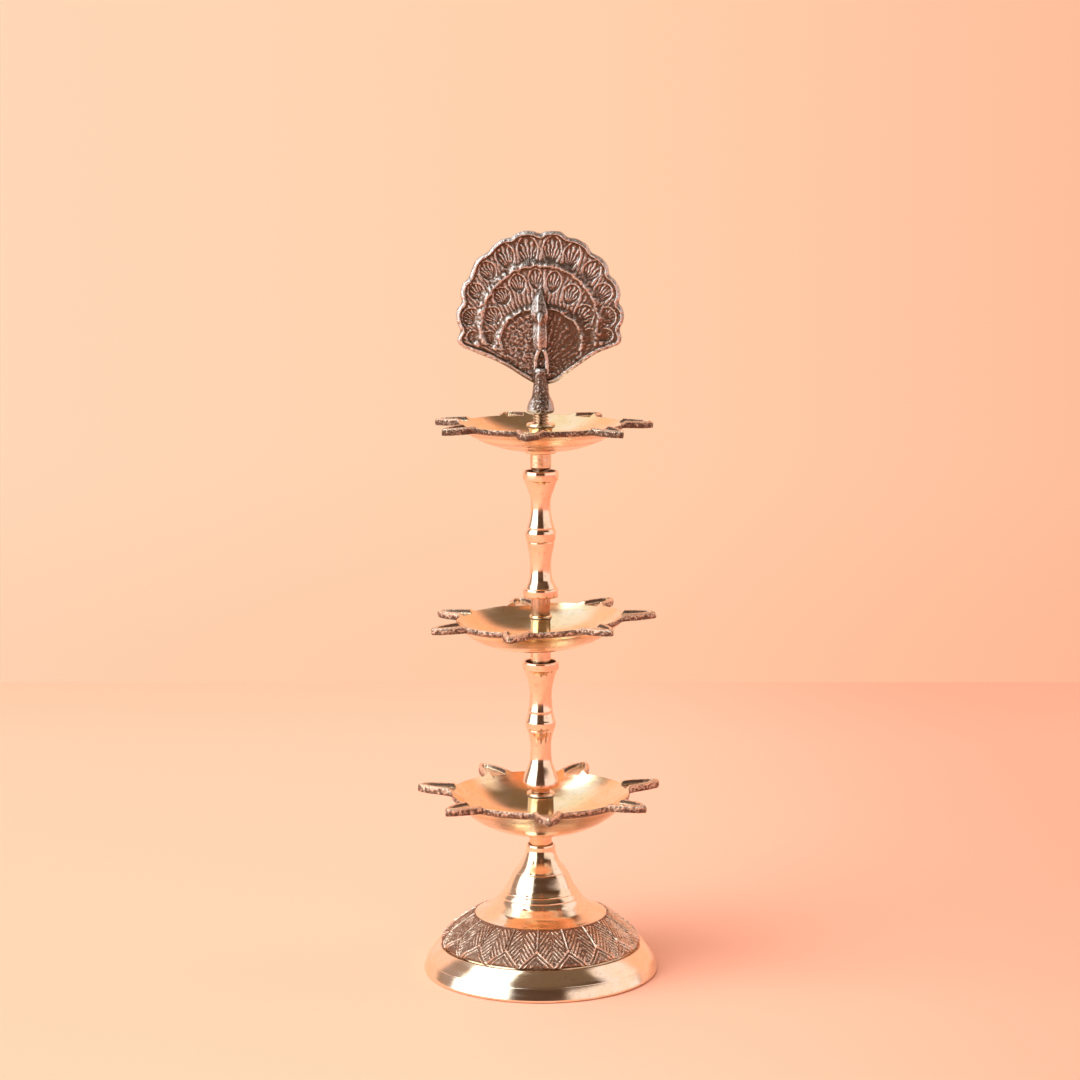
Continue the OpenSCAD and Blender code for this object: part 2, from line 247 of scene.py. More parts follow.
# ------------------------------------------------------------------ materials
class Nodes:
    """Short calls for building a material's node tree."""

    def __init__(self, mat):
        mat.use_nodes = True
        self.t = mat.node_tree
        self.t.nodes.clear()

    def new(self, kind, **props):
        n = self.t.nodes.new(kind)
        for k, v in props.items():
            setattr(n, k, v)
        return n

    def put(self, socket, value):
        if isinstance(value, bpy.types.NodeSocket):
            self.t.links.new(value, socket)
        elif value is not None:
            socket.default_value = value

    def math(self, op, a, b=None, c=None, clamp=False):
        n = self.new("ShaderNodeMath", operation=op, use_clamp=clamp)
        for s, v in zip(n.inputs, (a, b, c)):
            self.put(s, v)
        return n.outputs[0]

    def ramp(self, x, a, b, lo=0.0, hi=1.0, smoothstep=True):
        n = self.new("ShaderNodeMapRange", interpolation_type="SMOOTHSTEP" if smoothstep else "LINEAR")
        for s, v in zip(n.inputs, (x, a, b, lo, hi)):
            self.put(s, v)
        return n.outputs[0]

    def mix(self, f, a, b):
        n = self.new("ShaderNodeMix", data_type="FLOAT")
        self.put(n.inputs[0], f)
        self.put(n.inputs[2], a)
        self.put(n.inputs[3], b)
        return n.outputs[0]

    def mix_rgb(self, f, a, b, blend="MIX"):
        n = self.new("ShaderNodeMix", data_type="RGBA", blend_type=blend)
        self.put(n.inputs[0], f)
        self.put(n.inputs[6], (*a, 1.0) if isinstance(a, tuple) else a)
        self.put(n.inputs[7], (*b, 1.0) if isinstance(b, tuple) else b)
        return n.outputs[2]

    def noise(self, vector, scale, detail=2.0, rough=0.5):
        n = self.new("ShaderNodeTexNoise")
        self.put(n.inputs["Vector"], vector)
        n.inputs["Scale"].default_value = scale
        n.inputs["Detail"].default_value = detail
        n.inputs["Roughness"].default_value = rough
        return n.outputs["Fac"]

    def vec(self, x, y, z):
        n = self.new("ShaderNodeCombineXYZ")
        for s, v in zip(n.inputs, (x, y, z)):
            self.put(s, v)
        return n.outputs[0]


def brass(name, slot, bright, warm, dark, lift, polish=0.10, ring=1.0, chatter=0.0, tarnish=0.35, cast_rough=0.3,
          grit_h=0.2, speck=1.4, grain=1.5):
    """Turned, polished brass that turns into raw sand-cast brass where the attribute 'cast' is 1.

    bright and warm are the polished metal and its warmer stains; dark is the oxide left in the
    recesses of the raw casting and also painted shade in hollows and creases, and lift is the metal
    rubbed clean on its high spots.
    """
    mat = bpy.data.materials.new(name)
    n = Nodes(mat)
    obj = n.new("ShaderNodeTexCoord").outputs["Object"]
    mm = n.new("ShaderNodeVectorMath", operation="SCALE")
    n.put(mm.inputs[0], obj)
    mm.inputs["Scale"].default_value = 1000.0
    p = mm.outputs[0]
    xyz = n.new("ShaderNodeSeparateXYZ")
    n.put(xyz.inputs[0], p)
    x, y, z = xyz.outputs
    r = n.math("SQRT", n.math("ADD", n.math("MULTIPLY", x, x), n.math("MULTIPLY", y, y)))
    th = n.math("ARCTAN2", y, x)
    cast = n.new("ShaderNodeAttribute", attribute_name="cast").outputs["Fac"]
    relief = n.new("ShaderNodeAttribute", attribute_name="relief").outputs["Fac"]

    # lathe rings: noise drawn out around the axis
    fine = n.noise(n.vec(r, z, n.math("MULTIPLY", th, 0.22)), 7.0, 3.0, 0.6)
    broad = n.noise(n.vec(r, z, n.math("MULTIPLY", th, 0.12)), 1.1, 2.0, 0.5)
    # soft uneven buffing and tarnish
    cloud = n.noise(p, 0.10, 3.0, 0.55)
    smear = n.noise(n.vec(n.math("MULTIPLY", r, 0.6), z, n.math("MULTIPLY", th, 2.2)), 0.5, 4.0, 0.6)
    spots = n.noise(p, 0.55, 5.0, 0.65)
    # raw casting
    grit = n.noise(p, grain, 6.0, 0.62)
    pits = n.noise(p, 3.6, 3.0, 0.5)

    ring_h = n.math("MULTIPLY", n.math("ADD", n.math("MULTIPLY", fine, 0.0011 * ring),
                                       n.math("MULTIPLY", broad, 0.0045 * ring)), 1.0)
    if chatter:
        wave = n.math("SINE", n.math("ADD", n.math("MULTIPLY", th, 132.0), n.math("MULTIPLY", broad, 3.0)))
        where = n.math("MULTIPLY", n.ramp(r, 7.0, 11.0), n.ramp(r, 24.0, 19.0))
        wave = n.math("MULTIPLY", n.math("MULTIPLY", wave, where), 0.0016 * chatter)
        ring_h = n.math("ADD", ring_h, wave)
    ring_h = n.math("ADD", ring_h, n.math("MULTIPLY", cloud, 0.05))
    cast_h = n.math("ADD", n.math("MULTIPLY", grit, grit_h), n.math("MULTIPLY", pits, 0.05))
    height = n.mix(cast, ring_h, cast_h)
    bump = n.new("ShaderNodeBump")
    bump.inputs["Strength"].default_value = 1.0
    bump.inputs["Distance"].default_value = 0.001
    n.put(bump.inputs["Height"], height)

    stain = n.math("MULTIPLY", n.ramp(spots, 0.50, 0.74), tarnish)
    polished = n.mix_rgb(n.ramp(cloud, 0.30, 0.70), bright, warm)
    polished = n.mix_rgb(stain, polished, tuple(0.62 * c for c in warm))
    high = n.math("ADD", n.math("MULTIPLY", relief, 0.9), n.math("MULTIPLY", n.math("SUBTRACT", grit, 0.5), speck))
    raw = n.mix_rgb(n.ramp(high, -0.35, 0.75), dark, lift)
    colour = n.mix_rgb(cast, polished, raw)

    gloss = n.math("ADD", polish, n.math("MULTIPLY", n.ramp(smear, 0.35, 0.75), 0.10))
    gloss = n.math("ADD", gloss, n.math("MULTIPLY", stain, 0.16))
    raw_rough = n.math("ADD", cast_rough, n.math("MULTIPLY", n.ramp(high, 0.5, -0.5), 0.16))
    rough = n.mix(cast, gloss, raw_rough)

    bsdf = n.new("ShaderNodeBsdfPrincipled")
    bsdf.inputs["Metallic"].default_value = 1.0
    n.put(bsdf.inputs["Base Color"], colour)
    n.put(bsdf.inputs["Roughness"], rough)
    n.put(bsdf.inputs["Normal"], bump.outputs[0])
    out = n.new("ShaderNodeOutputMaterial")
    n.put(out.inputs["Surface"], bsdf.outputs[0])
    mat["slot"] = slot
    return mat


BRIGHT = (0.94, 0.78, 0.58)
WARM = (0.91, 0.70, 0.42)
OXIDE_AND_SHADE = (0.14, 0.092, 0.068)
CLEAN = (0.84, 0.68, 0.54)
foot_mat = brass("foot_brass", "foot_brass", (0.92, 0.81, 0.68), (0.90, 0.74, 0.53), (0.27, 0.175, 0.125), (0.90, 0.75, 0.62), polish=0.10,
                 cast_rough=0.17, grit_h=0.40, speck=2.0, grain=1.25)
dish_mat = brass("dish_brass", "dish_brass", BRIGHT, WARM, OXIDE_AND_SHADE, CLEAN, polish=0.12, chatter=1.0, ring=1.3,
                 cast_rough=0.13, grit_h=0.70, speck=3.2, grain=0.95)
stem_mat = brass("stem_brass", "stem_brass", (0.94, 0.77, 0.61), (0.90, 0.70, 0.52), OXIDE_AND_SHADE, CLEAN, polish=0.10, tarnish=0.5)
stud_mat = brass("stud_brass", "stud_brass", (0.70, 0.54, 0.42), (0.58, 0.43, 0.31), OXIDE_AND_SHADE, CLEAN, polish=0.18)
antique_mat = brass("antique_brass", "antique_brass", BRIGHT, WARM, (0.150, 0.094, 0.064), (0.62, 0.60, 0.58),
                    cast_rough=0.18, grit_h=0.24, speck=1.5, grain=1.7)


# ------------------------------------------------------------------ levels, as in the CAD model
BORE = 3.225
STUD = 3.175
FOOT_SEAT = 51.0
LOWER_BASE, LOWER_BOSS = 58.4, 75.05
LOWER_STEM, LOWER_TOP = 77.7, 130.0
LOWER_SEAT = 127.5
MIDDLE_BASE, MIDDLE_BOSS = 135.3, 149.3
UPPER_STEM, UPPER_TOP = 156.7, 208.6
UPPER_SEAT, UPPER_SPIGOT = 206.1, 209.4
UPPER_BASE, UPPER_BOSS = 216.6, 227.9
FINIAL = 232.0
GRIP = 8.32
HOLE = GRIP + 0.4


def hole_down(z, depth, r=BORE, c=0.4):
    """Profile of a blind tapped hole below level z, from its mouth's edge to the axis."""
    return [(r + c, z), (r, z - c), (r, z - depth), (0.0, z - depth)]


def hole_up(z, depth, r=BORE, c=0.4):
    """Profile of a blind tapped hole above level z, from the axis to its mouth's edge."""
    return [(0.0, z + depth), (r, z + depth), (r, z + c), (r + c, z)]


def runs(pts):
    """Straight runs between neighbouring points."""
    return [[pts[i], pts[i + 1]] for i in range(len(pts) - 1)]


# ------------------------------------------------------------------ stems
lower_prof = profile(
    *runs(hole_up(LOWER_STEM, 9.4) + [(7.25, 77.7)]),
    [(7.25, 77.7), (7.6, 78.0), (7.62, 78.5), (7.5, 79.7), (7.2, 81.1), (6.6, 82.9), (5.85, 84.8), (5.1, 86.7),
     (4.6, 88.5), (4.4, 90.3), (4.32, 93.2), (4.36, 95.8), (4.6, 97.5), (5.1, 99.7), (5.62, 101.3)],
    [(5.62, 101.3), (5.4, 101.45)], [(5.4, 101.45), (5.42, 101.6)],
    [(5.42, 101.6), (5.8, 101.9), (6.12, 103.2), (6.25, 104.5), (6.1, 105.3)],
    [(6.1, 105.3), (5.95, 105.5)],
    [(5.95, 105.5), (5.62, 106.6), (5.36, 107.7), (5.25, 108.4)],
    [(5.25, 108.4), (4.95, 108.6)], [(4.95, 108.6), (4.95, 108.8)],
    [(4.95, 108.8), (5.08, 109.0), (4.86, 110.8), (4.62, 113.2), (4.54, 115.2), (4.6, 117.2), (4.8, 119.0),
     (5.12, 120.6), (5.55, 122.2), (5.95, 123.7), (6.45, 125.1), (7.0, 126.2)],
    [(7.0, 126.2), (7.25, 126.6)],
    [(7.25, 126.6), (7.45, 126.9), (7.5, 127.4), (7.52, 129.4), (7.42, 129.85), (7.2, 130.0)],
    [(7.2, 130.0), (6.55, 129.95)],
    [(6.55, 129.95), (6.2, 129.7), (6.05, 129.0), (6.0, 127.9), (5.8, 127.5)],
    *runs([(5.8, 127.5)] + hole_down(LOWER_SEAT, HOLE)),
)
turned("lower_stem_turning", lower_prof, 144, stem_mat, "lower_stem", "lower_stem", shaded_hollows=[(3.4, 118.0, 127.7), (6.3, 127.4, 129.85)])

upper_prof = profile(
    *runs(hole_up(UPPER_STEM, 9.4) + [(6.9, 156.7)]),
    [(6.9, 156.7), (7.15, 156.85), (7.2, 157.2), (7.2, 159.7), (7.1, 160.2), (6.9, 160.35)],
    [(6.9, 160.35), (6.7, 160.45)],
    [(6.7, 160.45), (6.35, 161.0), (5.7, 162.3), (5.0, 163.7), (4.6, 165.3), (4.38, 167.3), (4.3, 169.8),
     (4.45, 172.6), (4.72, 174.4), (5.1, 176.2), (5.45, 177.9), (5.72, 179.2)],
    [(5.72, 179.2), (5.5, 179.35)], [(5.5, 179.35), (5.5, 179.5)],
    [(5.5, 179.5), (5.8, 179.8), (6.15, 181.2), (6.3, 183.0), (6.12, 184.1), (5.75, 184.9)],
    [(5.75, 184.9), (5.5, 185.05)], [(5.5, 185.05), (5.5, 185.2)],
    [(5.5, 185.2), (5.6, 185.4), (5.12, 187.2), (4.62, 189.1), (4.27, 190.9), (4.1, 193.0), (4.1, 196.2),
     (4.4, 198.2), (4.9, 199.6), (5.45, 201.1), (6.0, 202.8), (6.5, 203.9), (6.85, 204.5)],
    [(6.85, 204.5), (7.1, 204.8)],
    [(7.1, 204.8), (7.28, 205.2), (7.32, 207.9), (7.22, 208.45), (7.0, 208.6)],
    [(7.0, 208.6), (6.5, 208.55)],
    [(6.5, 208.55), (6.15, 208.3), (6.05, 207.6), (6.0, 206.5), (5.8, 206.1)],
    *runs([(5.8, 206.1)] + hole_down(UPPER_SEAT, HOLE)),
)
turned("upper_stem_turning", upper_prof, 144, stem_mat, "upper_stem", "upper_stem", shaded_hollows=[(3.4, 196.0, 206.3), (6.3, 206.0, 208.45)])


# ------------------------------------------------------------------ studs
def threaded(name, z0, z1, body, shoulder=None, pitch=1.27, cols=64):
    """A stud with a real helical thread; a shoulder (radius, bottom, top) is turned plain."""
    depth, step = 0.70, 0.115
    zs = np.arange(z0 + 0.02, z1 - 0.01, step)
    a = np.arange(cols) * 2 * math.pi / cols
    Z, A = np.meshgrid(zs, a, indexing="ij")
    u = (Z / pitch - A / (2 * math.pi)) % 1.0
    tri = 1 - np.abs(2 * u - 1)                       # 0 at the root, 1 at the crest
    R = STUD - depth * (1 - smooth(0.12, 0.88, tri))
    end = np.minimum(Z - z0, z1 - Z)
    R = np.minimum(R, STUD - 0.75 + end * 1.1)        # chamfered ends
    cast = np.full(Z.shape, 0.12)
    if shoulder:
        sr, s0, s1 = shoulder
        inside = (Z > s0) & (Z < s1)
        near = np.minimum(np.abs(Z - s0), np.abs(Z - s1))
        R = np.where(inside, np.minimum(sr, sr - 0.25 + near * 1.6), R)
        relief = ~inside & (near < 0.9)
        R = np.where(relief, np.minimum(R, STUD - 0.55), R)
        cast = np.where(inside, 0.0, cast)
    R = np.maximum(R, 1.2)
    P = np.stack([R * np.cos(A), R * np.sin(A), Z], -1)
    verts, quads, tris = grid_skin(P, (0, 0, z0), (0, 0, z1))
    c = np.r_[cast.ravel(), 0.12, 0.12]
    return make_object(name, verts, quads, tris, {"cast": c, "relief": np.zeros(len(verts))},
                       stud_mat, body, body, 50)


threaded("foot_stud_thread", FOOT_SEAT - GRIP, FOOT_SEAT + 9, "foot_stud")
threaded("lower_boss_stud_thread", LOWER_BOSS - GRIP, LOWER_STEM + 9, "lower_boss_stud",
         (3.85, LOWER_BOSS, LOWER_STEM))
threaded("lower_stem_stud_thread", LOWER_SEAT - GRIP, LOWER_SEAT + 9, "lower_stem_stud")
threaded("middle_boss_stud_thread", MIDDLE_BOSS - GRIP, UPPER_STEM + 9, "middle_boss_stud",
         (3.97, MIDDLE_BOSS, UPPER_STEM))
threaded("upper_stem_stud_thread", UPPER_SEAT - HOLE, UPPER_SPIGOT + 7.5, "upper_stem_stud")
threaded("finial_stud_thread", UPPER_BOSS - HOLE, FINIAL + 5.3, "finial_stud")


# ------------------------------------------------------------------ foot
LEAVES = 18
LEAF_PHASE = math.radians(-90 - 2.3)                  # angle of one dividing line, just left of front

below_band = profile(
    [(0.0, 38.0), (6.0, 38.0)],
    [(6.0, 38.0), (8.6, 37.7), (10.3, 36.6), (12.6, 32.5), (15.0, 28.6), (17.5, 25.5), (20.2, 23.0), (25.0, 20.6),
     (30.6, 19.4), (33.8, 18.0), (36.2, 16.4), (37.8, 14.4), (38.2, 12.0), (39.6, 9.8), (44.4, 4.2), (45.4, 0.6)],
    [(45.4, 0.6), (45.7, 0.0)], [(45.7, 0.0), (47.5, 0.0)],
    [(47.5, 0.0), (48.25, 0.35), (48.5, 1.0), (48.35, 1.7), (47.9, 3.0), (46.95, 5.6)],
    [(46.95, 5.6), (46.72, 5.75)], [(46.72, 5.75), (46.72, 5.95)],
    [(46.72, 5.95), (45.2, 8.0), (43.4, 10.1), (42.1, 11.45)],
    [(42.1, 11.45), (40.0, 11.3)], [(40.0, 11.3), (40.0, 11.7)], [(40.0, 11.7), (40.5, 11.8)],
    longest=3.0)
band_line = resample(soften(resample(spline(
    [(40.5, 11.8), (41.0, 12.5), (40.9, 13.2), (40.2, 14.2), (38.5, 15.8), (36.0, 18.0), (33.0, 20.4), (30.0, 22.5),
     (27.6, 24.0), (26.8, 24.3)]), 0.03), 0.1, 0.03), 0.26)
above_band = profile(
    [(26.8, 24.3), (26.5, 24.42)],
    [(26.5, 24.42), (25.9, 24.7), (24.0, 25.4), (21.6, 26.65), (20.2, 27.85), (18.1, 29.8), (17.0, 31.35)],
    [(17.0, 31.35), (16.72, 31.42)], [(16.72, 31.42), (16.75, 31.7)],
    [(16.75, 31.7), (15.75, 33.2), (15.5, 33.5)],
    [(15.5, 33.5), (15.2, 33.55)], [(15.2, 33.55), (15.22, 33.8)],
    [(15.22, 33.8), (14.7, 34.4), (13.75, 35.9), (12.9, 37.8), (12.0, 39.8), (11.05, 41.8)],
    [(11.05, 41.8), (10.75, 41.9)], [(10.75, 41.9), (10.7, 42.15)],
    [(10.7, 42.15), (9.6, 43.6), (8.2, 45.5), (7.1, 47.4), (6.35, 49.3), (6.02, 51.0), (5.95, 52.4), (5.8, 53.05)],
    [(5.8, 53.05), (5.55, 53.2)], [(5.55, 53.2), (5.25, 53.15)],
    [(5.25, 53.15), (4.95, 52.8), (4.9, 51.4), (4.7, 51.0)],
    *runs([(4.7, 51.0)] + hole_down(FOOT_SEAT, HOLE)),
    longest=2.0)


def line_at(d, width):
    """A rounded ridge of the given width where the distance d is 0."""
    return np.exp(-(d / (0.5 * width)) ** 2)


def make_foot():
    cols = LEAVES * 46
    a = LEAF_PHASE + np.arange(cols) * 2 * math.pi / cols
    ca, sa = np.cos(a), np.sin(a)
    prof = np.vstack([below_band[1:], band_line[1:-1], above_band[:-1]])
    n0, n1 = len(below_band) - 1, len(below_band) - 1 + len(band_line) - 2
    r, z = prof[:, 0][:, None], prof[:, 1][:, None]
    P = np.stack([r * ca, r * sa, z + 0 * ca], -1)
    # the band, measured down its slope from its top edge
    b = band_line[1:-1]
    seg = np.linalg.norm(np.diff(b, axis=0), axis=1)
    s = np.r_[np.cumsum(seg[::-1])[::-1], 0.0][:, None]
    total = float(s[0, 0])
    tang = np.gradient(b, axis=0)
    tang /= np.linalg.norm(tang, axis=1)[:, None]
    nr, nz = tang[:, 1][:, None], -tang[:, 0][:, None]
    nr, nz = np.where(nr * 0 + nz < 0, -nr, nr), np.where(nz < 0, -nz, nz)
    nr, nz = np.abs(nr), np.abs(nz)
    c = ((a - LEAF_PHASE) * LEAVES / (2 * math.pi)) % 1.0      # 0 and 1 on the dividing lines
    k = np.floor((a - LEAF_PHASE) * LEAVES / (2 * math.pi) + 1e-9)
    cc = (c - 0.5)[None, :]
    half = b[:, 0][:, None] * math.pi / LEAVES
    B = P[n0:n1].copy()
    wob = 0.35 * noise(B, 3.0, 5)
    x = cc * 2 * half
    ax = np.abs(x)
    edge = half - ax                                            # distance to the dividing line
    s_peak, s_tip = 12.4, 19.7
    zig = s_peak + (s_tip - s_peak) * (1 - np.abs(cc) * 2)
    slope = (s_tip - s_peak) / half
    d = (s + wob * 0.5 - zig) / np.sqrt(1 + slope ** 2)         # across the zigzag, down is positive
    leaf_in = smooth(-0.3, -1.3, d)                             # inside the leaf
    upper_lip = line_at(d + 0.62, 0.62)
    lower_lip = line_at(d - 0.78, 0.60)
    divider = line_at(edge + wob * 0.25, 0.62) * smooth(s_peak + 0.4, s_peak - 0.8, s)
    gutter = line_at(edge - 0.75, 0.5) * smooth(s_peak + 0.2, s_peak - 1.0, s) * smooth(0.3, 1.5, s)
    mid = line_at(x + 0.3 * wob, 0.5) * smooth(1.0, 2.5, s) * leaf_in
    phase = (s - 1.45 * ax + 0.5 * wob + 1.7 * (((k * 7) % 5) / 5.0 - 0.5)[None, :]) / 2.45
    ribs = 0.5 + 0.5 * np.cos(2 * math.pi * phase)
    ribs = ribs ** 0.75 * leaf_in * smooth(0.25, 1.1, edge) * smooth(0.15, 0.6, ax) * smooth(0.6, 1.8, s)
    inner = line_at(d - 2.6, 0.5) * smooth(2.2, 3.6, s_tip + 3.4 - s) * smooth(1.2, 1.8, d)
    tri = smooth(1.2, 1.9, d) * (0.5 + 0.5 * np.sin(2 * math.pi * (x / 1.15 + 0.8 * wob)) * 0.7)
    tooth = smooth(total - 2.4, total - 0.2, s)
    h = (0.56 * upper_lip + 0.50 * lower_lip + 0.54 * divider - 0.20 * gutter + 0.22 * mid + 0.34 * ribs
         + 0.22 * inner + 0.13 * tri - 0.10)
    vary = 1 + 0.45 * noise(B, 2.3, 9)
    rough = 0.14 * fbm(B, 1.05, 3, 21) + 0.06 * noise(B, 0.5, 31)
    fade = smooth(0.0, 0.9, s) * smooth(0.0, 0.5, total - s)
    h = h * vary * fade + rough * smooth(0.0, 0.5, s)
    lip = tooth * (0.30 * np.cos(2 * math.pi * cc) + 0.45 * noise(B, 1.9, 77))   # uneven lower edge
    R = b[:, 0][:, None] + nr * h + 0.10 * lip
    Z = b[:, 1][:, None] + nz * h - lip * 0.75
    P[n0:n1] = np.stack([R * ca, R * sa, Z], -1)
    P[:n0, :, 2] = np.maximum(P[:n0, :, 2], 0.0)
    verts, quads, tris = grid_skin(P, (0, 0, prof[0, 1] if prof[0, 0] < 1e-6 else 38.0), (0, 0, above_band[-1, 1]))
    cast = np.zeros(P.shape[:2])
    cast[n0:n1] = smooth(0.0, 0.35, s + 0 * R)
    cast[max(0, n0 - 4):n0] = 1.0
    # the underside stays as it was cast, the sloping rim is turned
    i_rim = int(np.argmax(below_band[1:, 0] > 45.3))
    cast[:max(1, i_rim - 1)] = 1.0
    rel = np.zeros(P.shape[:2])
    # the band's relief, with painted light by side: lighter towards the right as a painted reflection of the backdrop,
    # darker towards the left
    rel[n0:n1] = np.clip((h - 0.12) / 0.22 + 0.80 * smooth(10.0, 36.0, R * ca) - 0.25 * smooth(-14.0, -34.0, R * ca), -1, 1)
    rel[:max(1, i_rim - 1)] = -0.5
    # painted shade: the socket at the top and its tapped hole are coloured dark
    socket = (np.hypot(P[..., 0], P[..., 1]) < 5.2) & (P[..., 2] > 42.0)
    cast[socket], rel[socket] = 1.0, -1.0
    at = {"cast": np.r_[cast.ravel(), 1.0, 0.0], "relief": np.r_[rel.ravel(), 0.0, 0.0]}
    return make_object("foot_casting", verts, quads, tris, at, foot_mat, "foot", "foot", 45)


make_foot()


# ------------------------------------------------------------------ dishes
def make_diya(name, node, base, spigot_z, boss_z, rim, tip, depth, power, wall, rise, turn, tilt,
              boss, lip, flare, spigot, ring, low_hole, seed, spout_w=5.5, spout_wall=1.9):
    """A dish casting: turned bowl, boss and spigot, and seven cast spouts around the rim."""
    spouts = 7
    half_gap = math.pi / spouts
    s0 = rim + 0.3
    k_rise = math.tan(math.radians(rise))

    # outline of half a spout, from the middle of the valley to the tip, as polar points
    t = np.linspace(0, 1, 400)
    ts, tw = s0 + (tip - s0) * t, spout_w * (1 - t ** 2) ** 0.70
    root = math.atan2(spout_w, s0)
    a_fill = root + 2.3 / rim
    A = np.array([rim * math.cos(a_fill), rim * math.sin(a_fill)])
    C = np.array([s0 * 1.0, spout_w + 0.25])
    i_b = int(np.argmax(ts > rim + 2.4))
    Bp = np.array([ts[i_b], tw[i_b]])
    q = np.linspace(0, 1, 24)[:, None]
    bez = (1 - q) ** 2 * A + 2 * q * (1 - q) * C + q ** 2 * Bp
    arc_a = np.linspace(half_gap, a_fill, 30)[:-1]
    arc = np.c_[rim * np.cos(arc_a), rim * np.sin(arc_a)]
    out = np.vstack([arc, bez, np.c_[ts, tw][i_b + 1:]])
    d = np.r_[0, np.cumsum(np.linalg.norm(np.diff(out, axis=0), axis=1))]
    d_v = float(np.interp(len(arc), np.arange(len(out)), d))
    pick = np.r_[np.linspace(0, d_v, 9, endpoint=False),
                 d_v + (d[-1] - d_v) * (1 - (1 - np.linspace(0, 1, 27)) ** 1.15)]
    hx, hy = np.interp(pick, d, out[:, 0]), np.interp(pick, d, out[:, 1])
    ha, hr = np.arctan2(hy, hx), np.hypot(hx, hy)
    ha[-1] = 0.0
    delta = np.r_[-ha, ha[-2:0:-1]]                      # -gap .. 0 .. just short of +gap
    rho = np.r_[hr, hr[-2:0:-1]]
    order = np.argsort(delta)
    delta, rho = delta[order], rho[order]
    ang = np.concatenate([math.radians(turn - 90) + i * 2 * half_gap + delta for i in range(spouts)])
    dl = np.tile(delta, spouts)
    ro = np.tile(rho, spouts)
    which = np.repeat(np.arange(spouts), len(delta))
    cols = len(ang)

    edge = depth + wall

    def over(r):
        return base + wall + depth * (r / rim) ** power

    # rows: 0 spigot and bowl's underside, then the spout's underside, its edge, its top, the bowl, the boss
    low = profile(
        *runs(hole_up(spigot_z, low_hole)), [(BORE + 0.4, spigot_z), (spigot - 0.5, spigot_z)],
        [(spigot - 0.5, spigot_z), (spigot, spigot_z + 0.5)],
        [(spigot, spigot_z + 0.5), (spigot, base - 1.0)],
        [(spigot, base - 1.0), (ring - 0.25, base - 0.75), (ring, base - 0.3), (ring + 0.1, base + 0.03 + depth * ((ring + 0.1) / rim) ** power)],
        [(r, base + depth * (r / rim) ** power) for r in np.linspace(ring + 0.1, rim - 1.0, 14)],
        longest=1.6)
    high = profile(
        [(r, over(r)) for r in np.linspace(rim - 0.6, flare + 1.4, 14)],
        [(flare + 1.4, over(flare + 1.4)), (flare + 0.35, over(flare) + 0.45), (boss + 0.35, base + wall + 2.6),
         (boss + 0.05, base + wall + 4.6), (boss, (base + boss_z) / 2 + 1.0), (boss + 0.02, boss_z - 2.5),
         (0.5 * (boss + lip), boss_z - 1.85), (lip - 0.04, boss_z - 1.5)],
        [(lip - 0.04, boss_z - 1.5), (lip, boss_z - 1.3)],
        [(lip, boss_z - 1.3), (lip, boss_z - 0.45), (lip - 0.35, boss_z)],
        [(lip - 0.35, boss_z), (BORE + 0.4, boss_z)],
        *runs(hole_down(boss_z, HOLE)),
        longest=1.4)
    A_ = ang[None, :]
    D_ = dl[None, :]

    def ring_rows(prof):
        r, z = prof[:, 0][:, None], prof[:, 1][:, None]
        return np.stack([r * np.cos(A_), r * np.sin(A_), z + 0 * A_], -1), r + 0 * A_

    def local(r):
        return r * np.cos(D_), np.abs(r * np.sin(D_))

    spout_on = smooth(rim + 0.2, rim + 2.2, ro)[None, :]
    each = (0.25 * np.sin(which * 2.4 + seed))[None, :]          # no two spouts are cast quite alike

    def bottom_z(r):
        s, _ = local(r)
        flat = base + depth + 0.15 + (k_rise + 0.03 * each) * (s - rim)
        bowl = base + depth * (np.minimum(r, rim + 0.5) / rim) ** power
        return np.where(r <= rim - 0.9, bowl, np.maximum(np.minimum(bowl, flat + 0.0), flat - 0.6) * 0 + np.minimum(bowl, flat))

    def top_z(r):
        s, qd = local(r)
        tt = np.clip((s - s0) / (tip - s0), 0, 1)
        w = spout_w * (1 - tt ** 2) ** 0.70
        tc = np.clip((s - s0 + 1.5) / (tip - 2.1 - s0 + 1.5), 0, 1)
        c = (spout_w - spout_wall + 0.25) * (1 - tc ** 1.9) ** 0.70
        rise_s = (k_rise + 0.03 * each) * (s - rim)
        wall_top = base + edge + 1.05 + rise_s - 0.15 * tt - 0.40 * smooth(w - 0.9, w, qd) ** 2
        floor = base + edge - 0.70 + rise_s + 0.30 * tc ** 2
        # V-shaped channel with a rounded bottom
        across = np.clip(qd / np.maximum(c, 0.05), 0, 1.6)
        v = floor + 0.18 * np.clip(across, 0, 1) ** 2
        flank = smooth(0.80, 1.12, across)
        struct = v + (wall_top - v) * flank
        struct = struct * spout_on + (base + edge + 0.02) * (1 - spout_on)
        return struct, over(r), flank * spout_on + (1 - spout_on)

